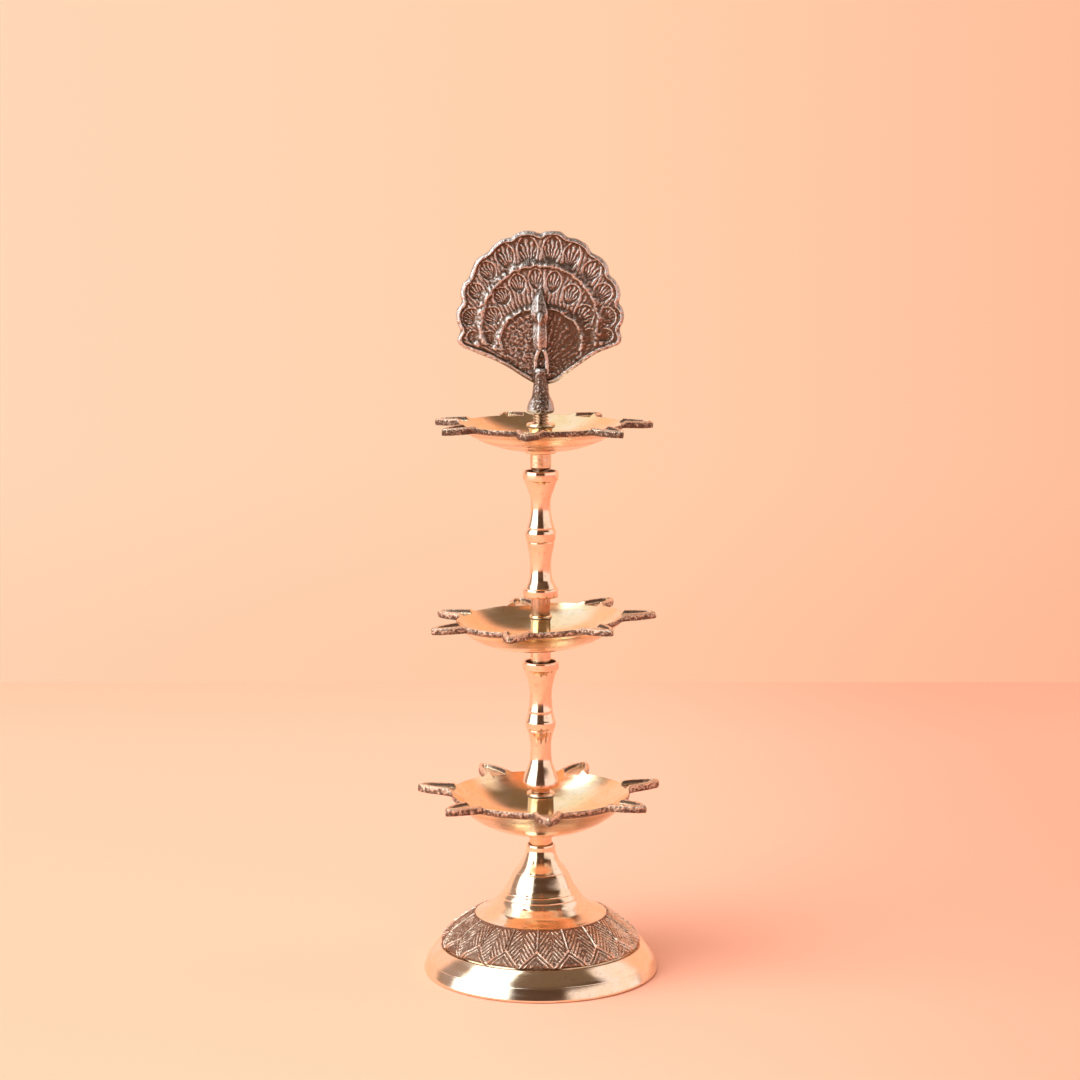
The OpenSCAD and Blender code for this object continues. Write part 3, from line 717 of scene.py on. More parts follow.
    # edge of the casting
    n_under = 9
    v = (1 - np.linspace(0, 1, n_under + 1)[1:]) ** 1.0
    r_in = rim - 1.0
    r_under = r_in + (ro[None, :] - r_in) * (1 - v)[:, None]
    z_under = bottom_z(r_under)
    v2 = np.r_[0.0, 0.012, 0.026, 0.042, 0.060, 0.080, 0.105, 0.13, 0.16, 0.195, 0.23, np.linspace(0.27, 0.94, 20), 0.97, 1.0]
    r_top = (rim - 0.55) + (ro[None, :] - (rim - 0.55)) * v2[:, None]
    struct, dish, flank = top_z(r_top)
    z_top = np.minimum(struct, dish)
    is_cast = smooth(-0.05, 0.06, dish - struct)
    ze0, ze1 = z_under[-1], z_top[-1]
    m = np.array([0.12, 0.3, 0.5, 0.7, 0.88])[:, None]
    bulge = np.array([0.10, 0.20, 0.24, 0.20, 0.10])[:, None]
    r_edge = ro[None, :] + bulge
    z_edge = ze0[None, :] + (ze1 - ze0)[None, :] * m

    def at(r, z):
        return np.stack([r * np.cos(A_), r * np.sin(A_), z], -1)

    r_top_s, z_top_s = r_top[::-1], z_top[::-1]
    U, E, T = at(r_under, z_under), at(r_edge, z_edge), at(r_top_s, z_top_s)
    # cast skin: pits and lumps on the spouts' sides, tops and on the rim's edge
    def lumps(Q, s1):
        return 0.13 * fbm(Q, 1.15, 3, seed * 7 + s1) + 0.05 * noise(Q, 0.45, seed * 5 + s1)
    rad = np.stack([np.cos(A_), np.sin(A_), 0 * A_], -1)
    E = E + rad * (lumps(E, 3) * 1.6)[..., None]
    U[-3:] += rad * (lumps(U[-3:], 3) * np.array([0.2, 0.6, 1.0])[:, None])[..., None]
    U[..., 2] += lumps(U, 5) * 0.8 * smooth(rim - 0.8, rim + 0.8, r_under)
    cast_T = is_cast[::-1]
    T[..., 2] += lumps(T, 9) * 0.55 * cast_T
    T[:3] += rad * (lumps(T[:3], 3) * np.array([1.0, 0.5, 0.15])[:, None])[..., None]

    L, rl = ring_rows(low[1:])
    H, rh = ring_rows(high[:-1])
    P = np.vstack([L, U, E, T, H])
    flank = flank[::-1]
    # the channel's steep sides get painted shade: they are coloured dark below
    side = smooth(0.04, 0.30, flank) * smooth(0.97, 0.80, flank)             # the channel's steep sides
    near_edge = smooth(2, 0, np.arange(len(T)))[:, None] + 0 * ro[None, :]
    # dull rings left by the tool under the bowl, over painted shade that darkens the whole underside and the spigot
    r_low = rl[:, :1]
    tool_rings_and_shade = np.clip(0.12 + 0.20 * noise(np.concatenate([0 * r_low, 0 * r_low, r_low], -1), 1.4, seed + 40), 0, 1)[:, None]
    outside = (r_low[:, 0] > BORE + 0.2)[:, None]
    tool_rings_and_shade = np.where(rl > ring, tool_rings_and_shade, 0.20 * outside)
    cast = np.vstack([tool_rings_and_shade, smooth(rim - 0.9, rim - 0.2, r_under) * 0.95, np.ones(r_edge.shape),
                      np.maximum(cast_T * (0.30 + 0.45 * smooth(0.5, 0.9, flank) + 0.7 * side), near_edge * 0.9).clip(0, 1),
                      np.zeros(rh.shape)])
    rel = np.vstack([np.full(rl.shape, -0.6), np.full(r_under.shape, -0.2), (-0.60 if boss_z > 200 else -0.30) + 0.7 * m + 5.5 * lumps(E, 3),
                     cast_T * (0.55 + 0.35 * smooth(0.6, 0.95, flank) - 1.7 * side) + (1 - cast_T) * 0.3, np.zeros(rh.shape)])
    # painted shade in the tapped hole, under the boss's lip and in the corner of the spigot
    rr_all = np.hypot(P[..., 0], P[..., 1])
    painted_shade = (rr_all < BORE + 0.1) | ((np.abs(P[..., 2] - (boss_z - 1.42)) < 0.16) & (rr_all < lip + 0.1))
    cast, rel = np.where(painted_shade, 1.0, cast), np.where(painted_shade, -1.0, rel)
    if tilt:
        ct, st = math.cos(math.radians(tilt)), math.sin(math.radians(tilt))
        rr = np.hypot(P[..., 0], P[..., 1])
        w = smooth(flare + 0.5, flare + 5.0, rr)
        x, zz = P[..., 0].copy(), P[..., 2] - base
        P[..., 0] += w * (x * ct - zz * st - x)
        P[..., 2] += w * (x * st + zz * ct - zz)
    verts, quads, tris = grid_skin(P, (0, 0, low[0, 1]), (0, 0, high[-1, 1]))
    attrs = {"cast": np.r_[cast.ravel(), 0, 0], "relief": np.r_[np.clip(rel, -1, 1).ravel(), 0, 0]}
    return make_object(name, verts, quads, tris, attrs, dish_mat, node, node, 48)


make_diya("lower_diya_casting", "lower_diya", LOWER_BASE, FOOT_SEAT, LOWER_BOSS, 36.5, 51.5, 14.5, 2.8, 2.2, 3.0,
          4.0, 0.0, 5.4, 5.85, 6.0, 4.6, 5.6, 9.4, 3)
make_diya("middle_diya_casting", "middle_diya", MIDDLE_BASE, LOWER_SEAT, MIDDLE_BOSS, 34.0, 47.5, 10.8, 3.0, 2.0, 0.0,
          -14.3, 2.3, 4.05, 4.57, 5.2, 4.15, 5.2, 9.4, 8)
make_diya("upper_diya_casting", "upper_diya", UPPER_BASE, UPPER_SPIGOT, UPPER_BOSS, 33.0, 45.8, 9.4, 2.5, 2.0, -3.0,
          -6.8, 0.0, 4.7, 5.8, 5.6, 4.27, 6.4, 7.9, 14)


# ------------------------------------------------------------------ finial
FOCUS = np.array([0.0, 246.0])                        # where the feathers meet, in x and z
HEART = np.array([0.0, 268.0])                        # middle of the fan
PLATE_F, PLATE_B = 1.2, 3.8                           # front and back faces of the fan's plate

# the lobed edge, counter-clockwise from its lower right corner
fan_edge = [(30.6, 259.2), (32.1, 260.3), (32.5, 262.6), (31.7, 265.9), (33.0, 268.4), (33.5, 271.4), (32.9, 274.2),
            (31.4, 276.0), (32.0, 279.6), (31.2, 283.2), (29.6, 285.8), (27.6, 287.5), (27.0, 291.0), (24.4, 294.2),
            (22.4, 295.4), (20.4, 296.5), (18.4, 299.5), (14.9, 301.7), (12.8, 302.2), (10.9, 302.5), (8.0, 304.6),
            (4.7, 305.0), (1.8, 304.8), (-0.2, 303.9), (-3.0, 304.9), (-7.0, 304.9), (-10.2, 303.8), (-12.4, 302.3),
            (-15.0, 301.9), (-17.4, 300.7), (-19.4, 298.9), (-21.3, 296.5), (-24.6, 294.6), (-26.8, 291.8),
            (-29.1, 285.9), (-31.0, 284.2), (-32.0, 281.4), (-32.0, 278.6), (-31.7, 276.4), (-33.5, 273.9), (-34.0, 271.2),
            (-33.3, 267.4), (-32.2, 265.0), (-33.2, 262.8), (-33.3, 260.3), (-32.0, 258.8), (-29.0, 257.3), (-26.2, 256.2),
            (-20.2, 253.9), (-16.0, 251.9), (-12.0, 249.7), (-7.2, 246.6), (-2.8, 244.2), (0.0, 243.7), (3.4, 243.7),
            (6.8, 244.7), (10.2, 247.4), (15.8, 251.6), (19.2, 254.0), (23.3, 256.4), (28.0, 258.2)]

# recessed eyes of the feathers: x, z, half length outwards, half width
eyes_outer = [(26.5, 263.3, 2.5, 2.6), (26.8, 271.0, 3.2, 3.7), (24.8, 280.3, 4.0, 3.6), (20.4, 289.0, 4.4, 3.4),
              (12.4, 295.0, 5.2, 3.3), (4.5, 297.4, 5.6, 3.7), (-5.2, 297.4, 5.7, 4.0), (-14.2, 295.0, 5.2, 3.6),
              (-21.2, 289.1, 4.0, 3.3), (-25.8, 280.8, 3.5, 3.1), (-28.0, 270.6, 3.4, 3.7), (-27.3, 262.7, 2.3, 2.4)]
eyes_inner = [(13.8, 256.2, 2.3, 1.7), (19.6, 262.8, 3.2, 3.1), (17.2, 271.3, 4.3, 4.0), (12.2, 279.6, 4.2, 3.4),
              (5.2, 284.6, 4.3, 2.9), (-2.0, 285.9, 4.0, 2.8), (-9.1, 284.0, 3.8, 3.2), (-15.5, 278.9, 3.6, 3.4),
              (-19.4, 271.0, 3.6, 3.6), (-20.3, 262.2, 2.8, 2.6)]


def feather_eyes(x, z, eyes, h, k0):
    """Sink each eye below the web, with a rim around it and barbs that spread from its stalk."""
    lumps = noise(np.stack([x, 0 * x, z], -1), 1.3, 59)
    for k, (ex, ez, la, wb) in enumerate(eyes):
        ox, oz = ex - FOCUS[0], ez - (FOCUS[1] + 8.0)
        ln = math.hypot(ox, oz)
        ux, uz = ox / ln, oz / ln
        u = (x - ex) * ux + (z - ez) * uz
        v = -(x - ex) * uz + (z - ez) * ux
        wide = wb * (1 - 0.20 * smooth(0.2 * la, -1.1 * la, u))
        q = np.sqrt((u / la) ** 2 + (v / wide) ** 2)
        inside = smooth(1.06, 0.86, q)
        rim = np.exp(-((q - 1.06) * 0.5 * (la + wb) / 0.42) ** 2)
        fan = np.arctan2(v, u + 1.15 * la)
        barbs = np.cos(fan * (27.0 + 2.0 * ((k + k0) % 3)) + 0.5 * np.sin(u * 2.1 + k) + 0.9 * lumps)
        floor = -0.50 + 0.24 * barbs * smooth(1.0, 0.8, q) * (1 + 0.5 * lumps) + 0.10 * lumps
        h = h * (1 - inside) + floor * inside
        h = h + 0.20 * rim * (0.15 + 0.85 * smooth(-0.4 * la, 0.6 * la, u)) * (1 + 0.6 * lumps)
    return h


def ridge_arc(x, z, cx, cz, rx, rz, width, height, lo, wave=0.0):
    """Height of a rounded ridge along the upper part of an ellipse."""
    a = np.arctan2((z - cz) / rz, (x - cx) / rx)
    q = np.sqrt(((x - cx) / rx) ** 2 + ((z - cz) / rz) ** 2)
    d = (q - 1) * np.sqrt((rx * np.cos(a)) ** 2 + (rz * np.sin(a)) ** 2) + wave
    ends = smooth(lo - 2.0, lo + 0.5, z)
    t = np.where(d > 0, d / (0.68 * width), -d / (0.36 * width))         # long slope outside, short slope inside
    return height * (1.06 - np.sqrt(0.012 + t ** 2)) * ends - 1.5 * (1 - ends)


def fan_front(x, z, e):
    """Height of the fan's relief at x, z, where e is the distance in from the edge."""
    P = np.stack([x, 0 * x, z], -1)
    fx, fz = x - FOCUS[0], z - FOCUS[1]
    a = np.degrees(np.arctan2(fx, fz))
    wob = noise(P, 2.2, 61)
    q = np.sqrt(((x + 0.4) / 24.0) ** 2 + ((z - 268.0) / 24.0) ** 2)      # outer arc
    q2 = np.sqrt((x / 17.0) ** 2 + ((z - 261.0) / 13.4) ** 2)             # inner arc
    outer, inner = smooth(0.98, 1.05, q), smooth(1.0, 0.92, q2)
    stalks = np.cos(2 * math.pi * (a + 0.7 * wob) / 2.05)
    h = 0.10 * stalks * outer + 0.02
    mid = (1 - outer) * (1 - inner)
    h = h + mid * (0.10 * np.cos(2 * math.pi * (a + 0.8 * wob) / 2.9) - 0.02)
    h = feather_eyes(x, z, eyes_outer, h, 0)
    h = feather_eyes(x, z, eyes_inner, h, 1)
    # inside the inner arc: beads on one wing, combed feathers on the other
    Q = np.stack([0.8 * x - 0.6 * z, 0.37 * z, 0.6 * x + 0.8 * z], -1)    # askew, so that no rows show
    beads = noise(Q, 0.9, 71) * 0.17 + noise(Q * 1.3 + 5.0, 0.7, 73) * 0.12
    comb = np.cos(2 * math.pi * (np.degrees(np.arctan2(x + 1.0, z - 249.0)) + 3.0 * wob) / 8.2)
    right = smooth(-0.5, 1.5, x)
    h = h * (1 - inner) + inner * ((1 - right) * beads + right * (0.075 * comb + 0.09 * noise(Q, 0.8, 75)) - 0.14)
    dim = (1 - 0.35 * smooth(2.0, 16.0, x)) * (1 + 0.26 * noise(P, 1.3, 65))
    h = np.maximum(h, ridge_arc(x, z, -0.4, 268.0, 23.4, 23.4, 3.1, 1.0, 259.5, 0.35 * wob) * dim)
    h = np.maximum(h, ridge_arc(x, z, 0.0, 261.0, 16.6, 13.1, 2.8, 0.9, 257.5, 0.3 * wob) * dim)
    arcs = np.exp(-((q - 1.0) * 24.0 / 1.3) ** 2) + np.exp(-((q2 - 1.0) * 14.0 / 1.3) ** 2)
    h = h + np.clip(arcs, 0, 1) * (0.28 * noise(Q, 1.35, 66) + 0.12 * noise(Q, 0.8, 69))
    # dividing line above the head, and knobs where the arcs end
    h = h - 0.30 * np.exp(-((x - 0.6 - 0.2 * wob) / 0.32) ** 2) * smooth(278.0, 281.0, z) * smooth(292.5, 290.5, z)
    for kx, kz, kr in ((-25.4, 259.9, 1.9), (-18.0, 258.4, 1.8), (24.2, 260.2, 1.5)):
        h = np.maximum(h, 1.6 * np.exp(-(np.hypot(x - kx, z - kz) / kr) ** 4) - 1.1)
    # the border, as wide as the lobes are deep
    rim_w = 1.45 + 0.25 * noise(P, 5.0, 63)
    lower = smooth(262.0, 258.0, z)
    on = smooth(rim_w + 0.9, rim_w - 0.05, e)
    border = (0.98 - 0.30 * lower) * (0.45 + 0.55 * np.clip(e / (rim_w - 0.1), 0, 1) ** 0.9)
    border = border + 0.20 * noise(Q, 1.8, 67) + 0.12 * noise(Q, 0.95, 68)
    h = np.maximum(h, border * on - 1.3 * (1 - on))
    return h


def loft(stations, turn=0.0, cols=64):
    """A closed skin through sections (z, x centre, half width, y front, y widest, y back, keel), turned about z."""
    s = np.asarray(stations, float)
    d = np.r_[0, np.cumsum(np.maximum(np.abs(np.diff(s[:, 0])), 0.15))]
    t = np.linspace(0, d[-1], max(12, int(d[-1] / 0.28)))
    c = np.stack([np.interp(t, d, s[:, i]) for i in range(7)], -1)
    k = np.array([1, 2, 3, 2, 1]) / 9.0
    for i in range(1, 7):
        c[:, i] = np.convolve(np.r_[c[0, i], c[0, i], c[:, i], c[-1, i], c[-1, i]], k, "valid")
    th = np.arange(cols) * 2 * math.pi / cols
    z, xc, w, yf, yc, yb, keel = (c[:, i][:, None] for i in range(7))
    front = np.maximum(0, -np.sin(th))[None, :]
    x = xc + w * np.cos(th) * (1 - keel * front ** 1.1)
    y = yc + np.where(np.sin(th) < 0, yc - yf, yb - yc) * np.sin(th)
    ct, st = math.cos(math.radians(turn)), math.sin(math.radians(turn))
    P = np.stack([x * ct - y * st, x * st + y * ct, z + 0 * th], -1)
    return grid_skin(P, P[0].mean(0), P[-1].mean(0))


def tube(points, radii, cols=28):
    """A closed round skin along a short straight or bent line in the YZ plane at x = points[:, 0]."""
    p = np.asarray(points, float)
    th = np.arange(cols) * 2 * math.pi / cols
    rows = []
    for i in range(len(p)):
        d = p[min(i + 1, len(p) - 1)] - p[max(i - 1, 0)]
        d /= np.linalg.norm(d)
        sx = np.array([1.0, 0.0, 0.0])
        sy = np.cross(d, sx)
        sy /= np.linalg.norm(sy)
        sx = np.cross(sy, d)
        rows.append(p[i] + radii[i] * (np.cos(th)[:, None] * sx + np.sin(th)[:, None] * sy))
    return grid_skin(np.array(rows), p[0], p[-1])


def fan_plate():
    edge = spline(fan_edge + [fan_edge[0]], 0.1)
    edge = resample(edge, 0.28)[:-1]
    k = np.array([1, 4, 6, 4, 1]) / 16.0
    edge = sum(k[i] * np.roll(edge, i - 2, axis=0) for i in range(5))
    ex, ez = edge[:, 0], edge[:, 1]
    tan = np.roll(edge, -1, axis=0) - np.roll(edge, 1, axis=0)
    tan /= np.linalg.norm(tan, axis=1)[:, None]
    ray = edge - HEART
    reach = np.linalg.norm(ray, axis=1)
    cosg = np.abs(tan[:, 1] * ray[:, 0] - tan[:, 0] * ray[:, 1]) / reach
    rows = []
    rho_b = np.r_[0.02, np.linspace(0.06, 0.975, 60)]
    rho_f = np.r_[0.9965, 0.991, 0.984, np.linspace(0.975, 0.02, 122)]

    def place(rho):
        x = HEART[0] + (ex - HEART[0])[None, :] * rho[:, None]
        z = HEART[1] + (ez - HEART[1])[None, :] * rho[:, None]
        e = (reach * np.clip(cosg, 0.5, 1.0))[None, :] * (1 - rho)[:, None]
        return x, z, e

    x, z, e = place(rho_b)
    Pb = np.stack([x, 0 * x, z], -1)
    rf = np.degrees(np.arctan2(x - FOCUS[0], z - FOCUS[1]))
    back = 0.12 * np.cos(2 * math.pi * (rf + 1.2 * noise(Pb, 3.0, 81)) / 5.6) * smooth(1.0, 3.0, e) + 0.12 * fbm(Pb, 1.6, 3, 83)
    back = back - 0.5 * (1 - np.sqrt(np.clip(1 - (1 - np.clip(e / 1.0, 0, 1)) ** 2, 0, 1)))
    rows.append(np.stack([x, PLATE_B + back, z], -1))
    for f, o in ((0.88, 0.0), (0.66, 0.02), (0.40, 0.02), (0.16, 0.01)):
        g = PLATE_F - 0.25 + (PLATE_B - 0.45 - PLATE_F + 0.25) * f
        rows.append(np.stack([ex + o * ray[:, 0] / reach * 8, np.full(len(ex), g), ez + o * ray[:, 1] / reach * 8], -1)[None])
    x, z, e = place(rho_f)
    h = fan_front(x, z, e)
    drop = 0.55 * (1 - np.sqrt(np.clip(1 - (1 - np.clip(e / 0.75, 0, 1)) ** 2, 0, 1)))
    rows.append(np.stack([x, PLATE_F - h + drop * 1.6, z], -1))
    P = np.vstack(rows)
    first = (HEART[0], PLATE_B, HEART[1])
    last = (HEART[0], float(P[-1, :, 1].mean()), HEART[1])
    return grid_skin(P, first, last)


def make_finial():
    skins = [fan_plate()]
    # breast and keel, neck and head: z, x centre, half width, front, back, keel
    skins.append(loft([(254.4, 0.1, 0.4, 0.0, 0.6, 2.2, 0.2), (255.3, 0.1, 1.4, -0.9, 0.2, 2.4, 0.45),
                       (257.0, 0.0, 2.2, -2.0, -0.5, 2.5, 0.6), (259.5, -0.1, 2.8, -2.8, -1.1, 2.5, 0.7),
                       (262.5, -0.1, 3.0, -3.2, -1.4, 2.5, 0.72), (265.5, -0.1, 2.85, -3.0, -1.3, 2.5, 0.7),
                       (267.6, 0.0, 2.6, -2.6, -1.1, 2.5, 0.65), (268.8, 0.0, 2.6, -2.7, -1.1, 2.5, 0.6),
                       (270.0, 0.0, 3.1, -3.4, -1.4, 2.5, 0.5), (271.4, -0.1, 3.6, -4.0, -2.0, 2.5, 0.55),
                       (273.0, -0.2, 3.5, -4.1, -2.2, 2.5, 0.66), (275.0, -0.3, 3.1, -3.8, -2.0, 2.5, 0.68),
                       (277.2, -0.4, 2.5, -3.2, -1.6, 2.4, 0.68), (279.2, -0.5, 1.7, -2.3, -1.0, 2.3, 0.6),
                       (280.6, -0.3, 0.9, -1.2, -0.2, 2.2, 0.5), (281.6, 0.2, 0.35, 0.2, 0.8, 2.0, 0.2)], -13.0))
    skins.append(tube([(-0.2, -2.6, 272.0), (-0.4, -3.9, 271.4), (-0.5, -4.9, 270.5), (-0.6, -5.8, 269.5), (-0.65, -6.3, 268.8)],
                      [1.6, 1.45, 1.2, 0.7, 0.3]))
    skins.append(tube([(-1.9, 0.2, 248.0), (-2.05, 0.3, 250.5), (-2.1, 0.0, 253.0), (-1.5, -1.0, 255.5), (-0.8, -1.6, 257.5)],
                      [0.9, 0.85, 0.85, 0.9, 0.9], 20))
    skins.append(tube([(2.3, -0.6, 248.0), (2.55, -0.9, 250.5), (2.5, -1.2, 253.5), (2.0, -1.6, 256.0), (1.2, -1.8, 257.8)],
                      [0.95, 0.85, 0.8, 0.85, 0.8], 20))
    ped = profile(*runs(hole_up(FINIAL, 5.7)), [(BORE + 0.4, FINIAL), (4.8, FINIAL)],
                  [(4.8, FINIAL), (5.15, 232.25), (5.55, 233.0), (5.6, 233.7), (5.42, 234.9), (5.05, 236.1)],
                  [(5.05, 236.1), (4.6, 237.3), (3.9, 238.5), (3.45, 240.0), (3.12, 242.4), (2.8, 244.4), (2.62, 247.0), (2.6, 249.2)],
                  [(2.6, 249.2), (2.2, 250.0), (0.0, 250.3)])
    a = np.arange(84) * 2 * math.pi / 84
    r, z = ped[1:-1, 0][:, None], ped[1:-1, 1][:, None]
    skins.append(grid_skin(np.stack([r * np.cos(a), r * np.sin(a), z + 0 * a], -1), (0, 0, ped[0, 1]), (0, 0, ped[-1, 1])))

    verts, faces, base = [], [], 0
    for v, q, t in skins:
        verts.append(v)
        faces += [tuple(int(i) for i in f) for f in (q + base)] + [tuple(int(i) for i in f) for f in (t + base)]
        base += len(v)
    raw = bpy.data.meshes.new("finial_raw")
    raw.from_pydata(np.vstack(verts).tolist(), [], faces)
    tmp = bpy.data.objects.new("finial_raw", raw)
    bpy.context.scene.collection.objects.link(tmp)
    mod = tmp.modifiers.new("voxels", "REMESH")
    mod.mode = "VOXEL"
    mod.voxel_size = 0.25
    mod.adaptivity = 0.0
    me = bpy.data.meshes.new_from_object(tmp.evaluated_get(bpy.context.evaluated_depsgraph_get()))
    bpy.data.objects.remove(tmp)
    bpy.data.meshes.remove(raw)
    n = len(me.vertices)
    P = np.empty(n * 3)
    me.vertices.foreach_get("co", P)
    P = P.reshape(-1, 3)
    N = np.empty(n * 3)
    me.vertex_normals.foreach_get("vector", N)
    N = N.reshape(-1, 3)
    E = np.empty(len(me.edges) * 2, np.int64)
    me.edges.foreach_get("vertices", E)
    E = E.reshape(-1, 2)
    deg = np.bincount(E.ravel(), minlength=n).astype(float)

    def spread(A):
        return np.stack([(np.bincount(E[:, 0], A[E[:, 1], i], n) + np.bincount(E[:, 1], A[E[:, 0], i], n)) / deg
                         for i in range(A.shape[1])], -1)

    # cast skin, kept off the seat and the tapped hole
    keep = smooth(FINIAL + 0.2, FINIAL + 1.0, P[:, 2])
    in_hole = (np.hypot(P[:, 0], P[:, 1]) < 3.5) & (P[:, 2] < 238.5)
    shaft = smooth(3.6, 2.6, np.abs(P[:, 0])) * smooth(251.0, 248.0, P[:, 2])
    skin = (0.07 + 0.15 * shaft) * fbm(P, 1.0, 2, 91) + 0.035 * noise(P, 0.55, 95)
    coarse = 0.10 * noise(P, 3.1, 97)
    P = P + N * ((skin + coarse) * keep * ~in_hole)[:, None]
    low = P.copy()
    for _ in range(12):
        low = spread(low)
    rel = ((P - low) * N).sum(1)
    rel = rel / 0.13 + 0.04 - 0.55 * shaft * keep
    rel -= 0.38 * smooth(0.0, 6.0, P[:, 0]) * smooth(282.0, 264.0, P[:, 2]) * smooth(246.0, 250.0, P[:, 2])
    me.vertices.foreach_set("co", (P * MM).astype(np.float32).ravel())
    for key, value in (("cast", np.ones(n)), ("relief", np.clip(rel, -1, 1))):
        at = me.attributes.new(key, "FLOAT", "POINT")
        at.data.foreach_set("value", value.astype(np.float32))
    me.polygons.foreach_set("use_smooth", np.ones(len(me.polygons), bool))
    me.update()
    me.materials.clear()
    me.materials.append(antique_mat)
    me.name = "peacock_finial_casting"
    ob = bpy.data.objects.new("peacock_finial_casting", me)
    bpy.context.scene.collection.objects.link(ob)
    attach(ob, "peacock_finial")
    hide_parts("peacock_finial")
    return ob


make_finial()


# ------------------------------------------------------------------ floor, lights and surroundings
def plane(name, x0, x1, y0, y1, z):
    me = bpy.data.meshes.new(name)
    me.from_pydata([(x0, y0, z), (x1, y0, z), (x1, y1, z), (x0, y1, z)], [], [(0, 1, 2, 3)])
    ob = bpy.data.objects.new(name, me)
    bpy.context.scene.collection.objects.link(ob)
    return ob


floor = plane("floor", -3.0, 3.0, -2.6, 0.591, 0.0)
fm = bpy.data.materials.new("floor_paper")
n = Nodes(fm)
b = n.new("ShaderNodeBsdfPrincipled")
b.inputs["Roughness"].default_value = 0.75
b.inputs["Specular IOR Level"].default_value = 0.2
where = n.new("ShaderNodeTexCoord").outputs["Object"]
grain = n.noise(where, 900.0, 3.0)
fx = n.new("ShaderNodeSeparateXYZ")
n.put(fx.inputs[0], where)
paper = n.mix_rgb(grain, (0.93, 0.490, 0.345), (0.935, 0.500, 0.352))
# painted shade: the paper is coloured darker and redder towards the right, where the lamp's shadow falls, and a little
# darker towards the back
n.put(b.inputs["Base Color"], n.mix_rgb(n.ramp(fx.outputs[0], -0.02, 0.29), paper, (0.90, 0.375, 0.258)))
far = n.ramp(fx.outputs[1], 0.42, 0.59, smoothstep=False)
n.put(b.inputs["Base Color"], n.mix_rgb(far, b.inputs["Base Color"].links[0].from_socket, (0.99, 0.94, 0.915), "MULTIPLY"))
o = n.new("ShaderNodeOutputMaterial")
n.put(o.inputs["Surface"], b.outputs[0])
floor.data.materials.append(fm)

fill = bpy.data.lights.new("fill", "AREA")
fill.shape = "SQUARE"
fill.size = 2.6
fill.energy = 68.5
fill_ob = bpy.data.objects.new("fill", fill)
fill_ob.location = (-0.9, -1.3, 2.5)
fill_ob.rotation_euler = (math.radians(32.3), 0.0, math.radians(-34.7))      # aimed at the lamp's foot
fill_ob.visible_glossy = False                       # it only lifts the paper floor
bpy.context.scene.collection.objects.link(fill_ob)

world = bpy.data.worlds.new("studio")
bpy.context.scene.world = world
n = Nodes(world)
dirn = n.new("ShaderNodeTexCoord").outputs["Generated"]
sx = n.new("ShaderNodeSeparateXYZ")
n.put(sx.inputs[0], dirn)
dx, dy, dz = sx.outputs
az = n.math("MULTIPLY", n.math("ARCTAN2", dx, n.math("MULTIPLY", dy, -1.0)), 180 / math.pi)   # 0 at the front, + right
el = n.math("MULTIPLY", n.math("ARCSINE", dz), 180 / math.pi)


def window(a0, a1, e0, e1, soft=4.0):
    """1 inside a rectangle of azimuth and elevation, with soft edges."""
    m = n.math("MULTIPLY", n.ramp(az, a0 - soft, a0 + soft), n.ramp(az, a1 + soft, a1 - soft))
    v = n.math("MULTIPLY", n.ramp(el, e0 - soft, e0 + soft), n.ramp(el, e1 + soft, e1 - soft))
    return n.math("MULTIPLY", m, v)


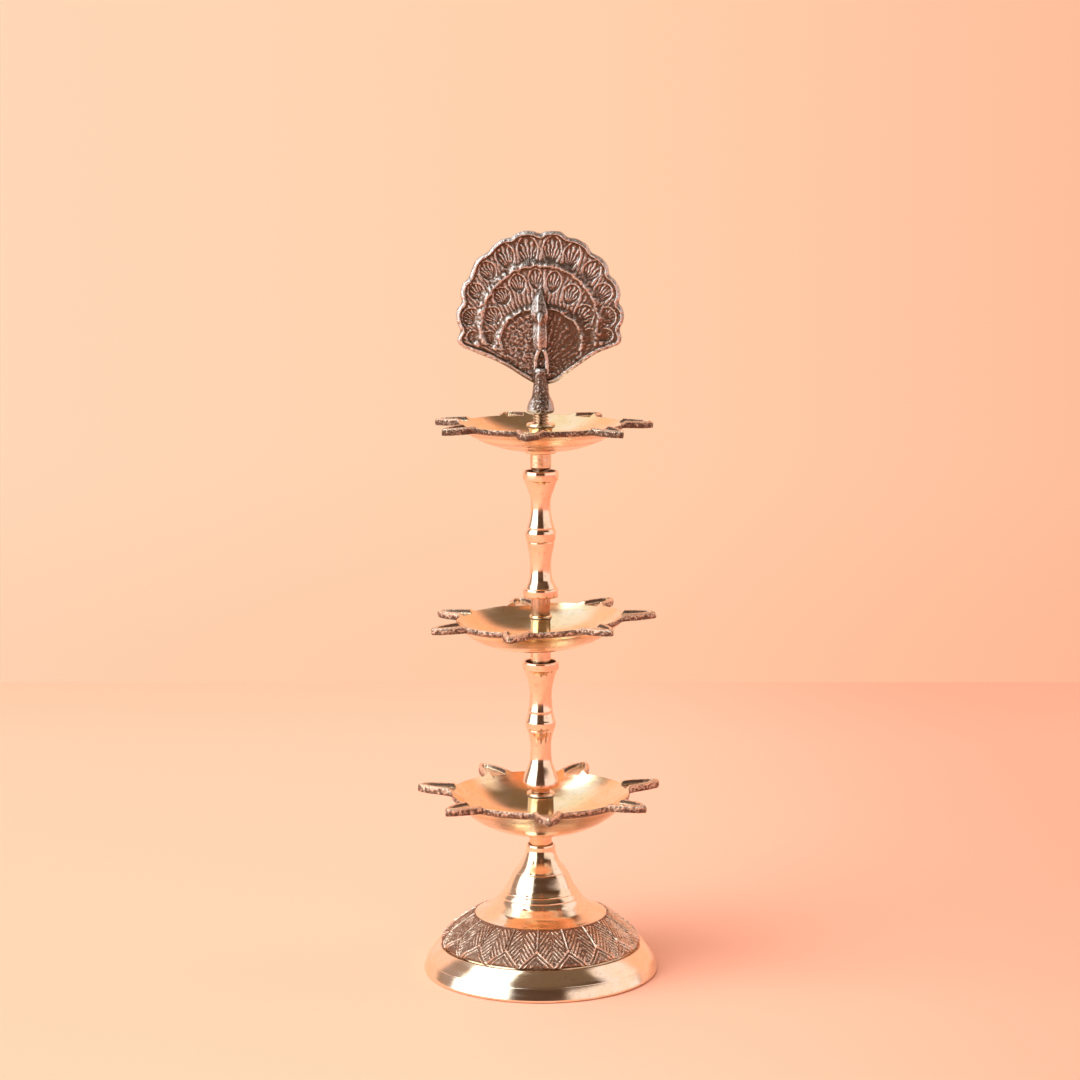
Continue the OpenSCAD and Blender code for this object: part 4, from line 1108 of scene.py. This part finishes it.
side = n.ramp(az, -60.0, 60.0)
room = n.mix_rgb(n.ramp(az, -20.0, 35.0), (0.11, 0.058, 0.036), (0.10, 0.050, 0.028))      # dark room behind the camera
paper = n.mix_rgb(side, (1.25, 0.74, 0.56), (1.28, 0.62, 0.40))
room = n.mix_rgb(n.ramp(n.math("ABSOLUTE", az), 104.0, 122.0), room, paper)               # paper backdrop around the back
room = n.mix_rgb(window(-122.0, -92.0, -40.0, 44.0, 5.0), room, (0.46, 0.31, 0.25))
roof = n.mix_rgb(side, (1.05, 1.00, 0.93), (0.23, 0.15, 0.10))
roof = n.mix_rgb(n.ramp(n.math("ABSOLUTE", az), 96.0, 74.0), roof, (0.21, 0.13, 0.08))
room = n.mix_rgb(n.ramp(el, 38.0, 52.0), room, roof)
az_up = n.math("ADD", az, n.math("MULTIPLY", n.ramp(el, 34.0, 56.0), 11.0))          # the softbox leans back a little
low_az, az = az, az_up
soft_left = window(-94.0, -32.0, -9.0, 76.0, 5.0)
az = low_az
over_left = window(-129.0, -97.0, 55.0, 75.0, 5.0)
soft_right = window(27.0, 112.0, -22.0, 25.0, 5.0)
high_right = window(76.0, 118.0, 18.0, 56.0, 5.0)
room = n.mix_rgb(n.math("MAXIMUM", soft_right, high_right), room, (1.18, 0.95, 0.86))
room = n.mix_rgb(over_left, room, (1.05, 1.12, 1.25))
room = n.mix_rgb(soft_left, room, (2.9, 2.9, 2.9))
below = n.math("MULTIPLY", n.ramp(el, -1.0, -6.0), n.ramp(n.math("ABSOLUTE", az), 70.0, 95.0))
room = n.mix_rgb(n.math("MULTIPLY", below, n.math("SUBTRACT", 1.0, n.math("MAXIMUM", soft_left, soft_right))), room,
                 (1.2, 0.62, 0.42))
# what the camera sees behind the lamp, with painted shade: darker towards the right and a little darker low down near
# the horizon
backdrop = n.mix_rgb(n.ramp(dx, -0.20, 0.02, smoothstep=False), (1.0, 0.685, 0.475), (1.0, 0.635, 0.412))
backdrop = n.mix_rgb(n.ramp(dx, 0.02, 0.20, smoothstep=False), backdrop, (1.0, 0.515, 0.330))
backdrop = n.mix_rgb(n.ramp(dz, -0.11, -0.20), backdrop, (1.0, 0.93, 0.91), "MULTIPLY")
lp = n.new("ShaderNodeLightPath")
colour = n.mix_rgb(lp.outputs["Is Camera Ray"], room, backdrop)
bg = n.new("ShaderNodeBackground")
n.put(bg.inputs["Color"], colour)
bg.inputs["Strength"].default_value = 1.0
wo = n.new("ShaderNodeOutputWorld")
n.put(wo.inputs["Surface"], bg.outputs[0])

bpy.context.scene.view_settings.view_transform = "Standard"
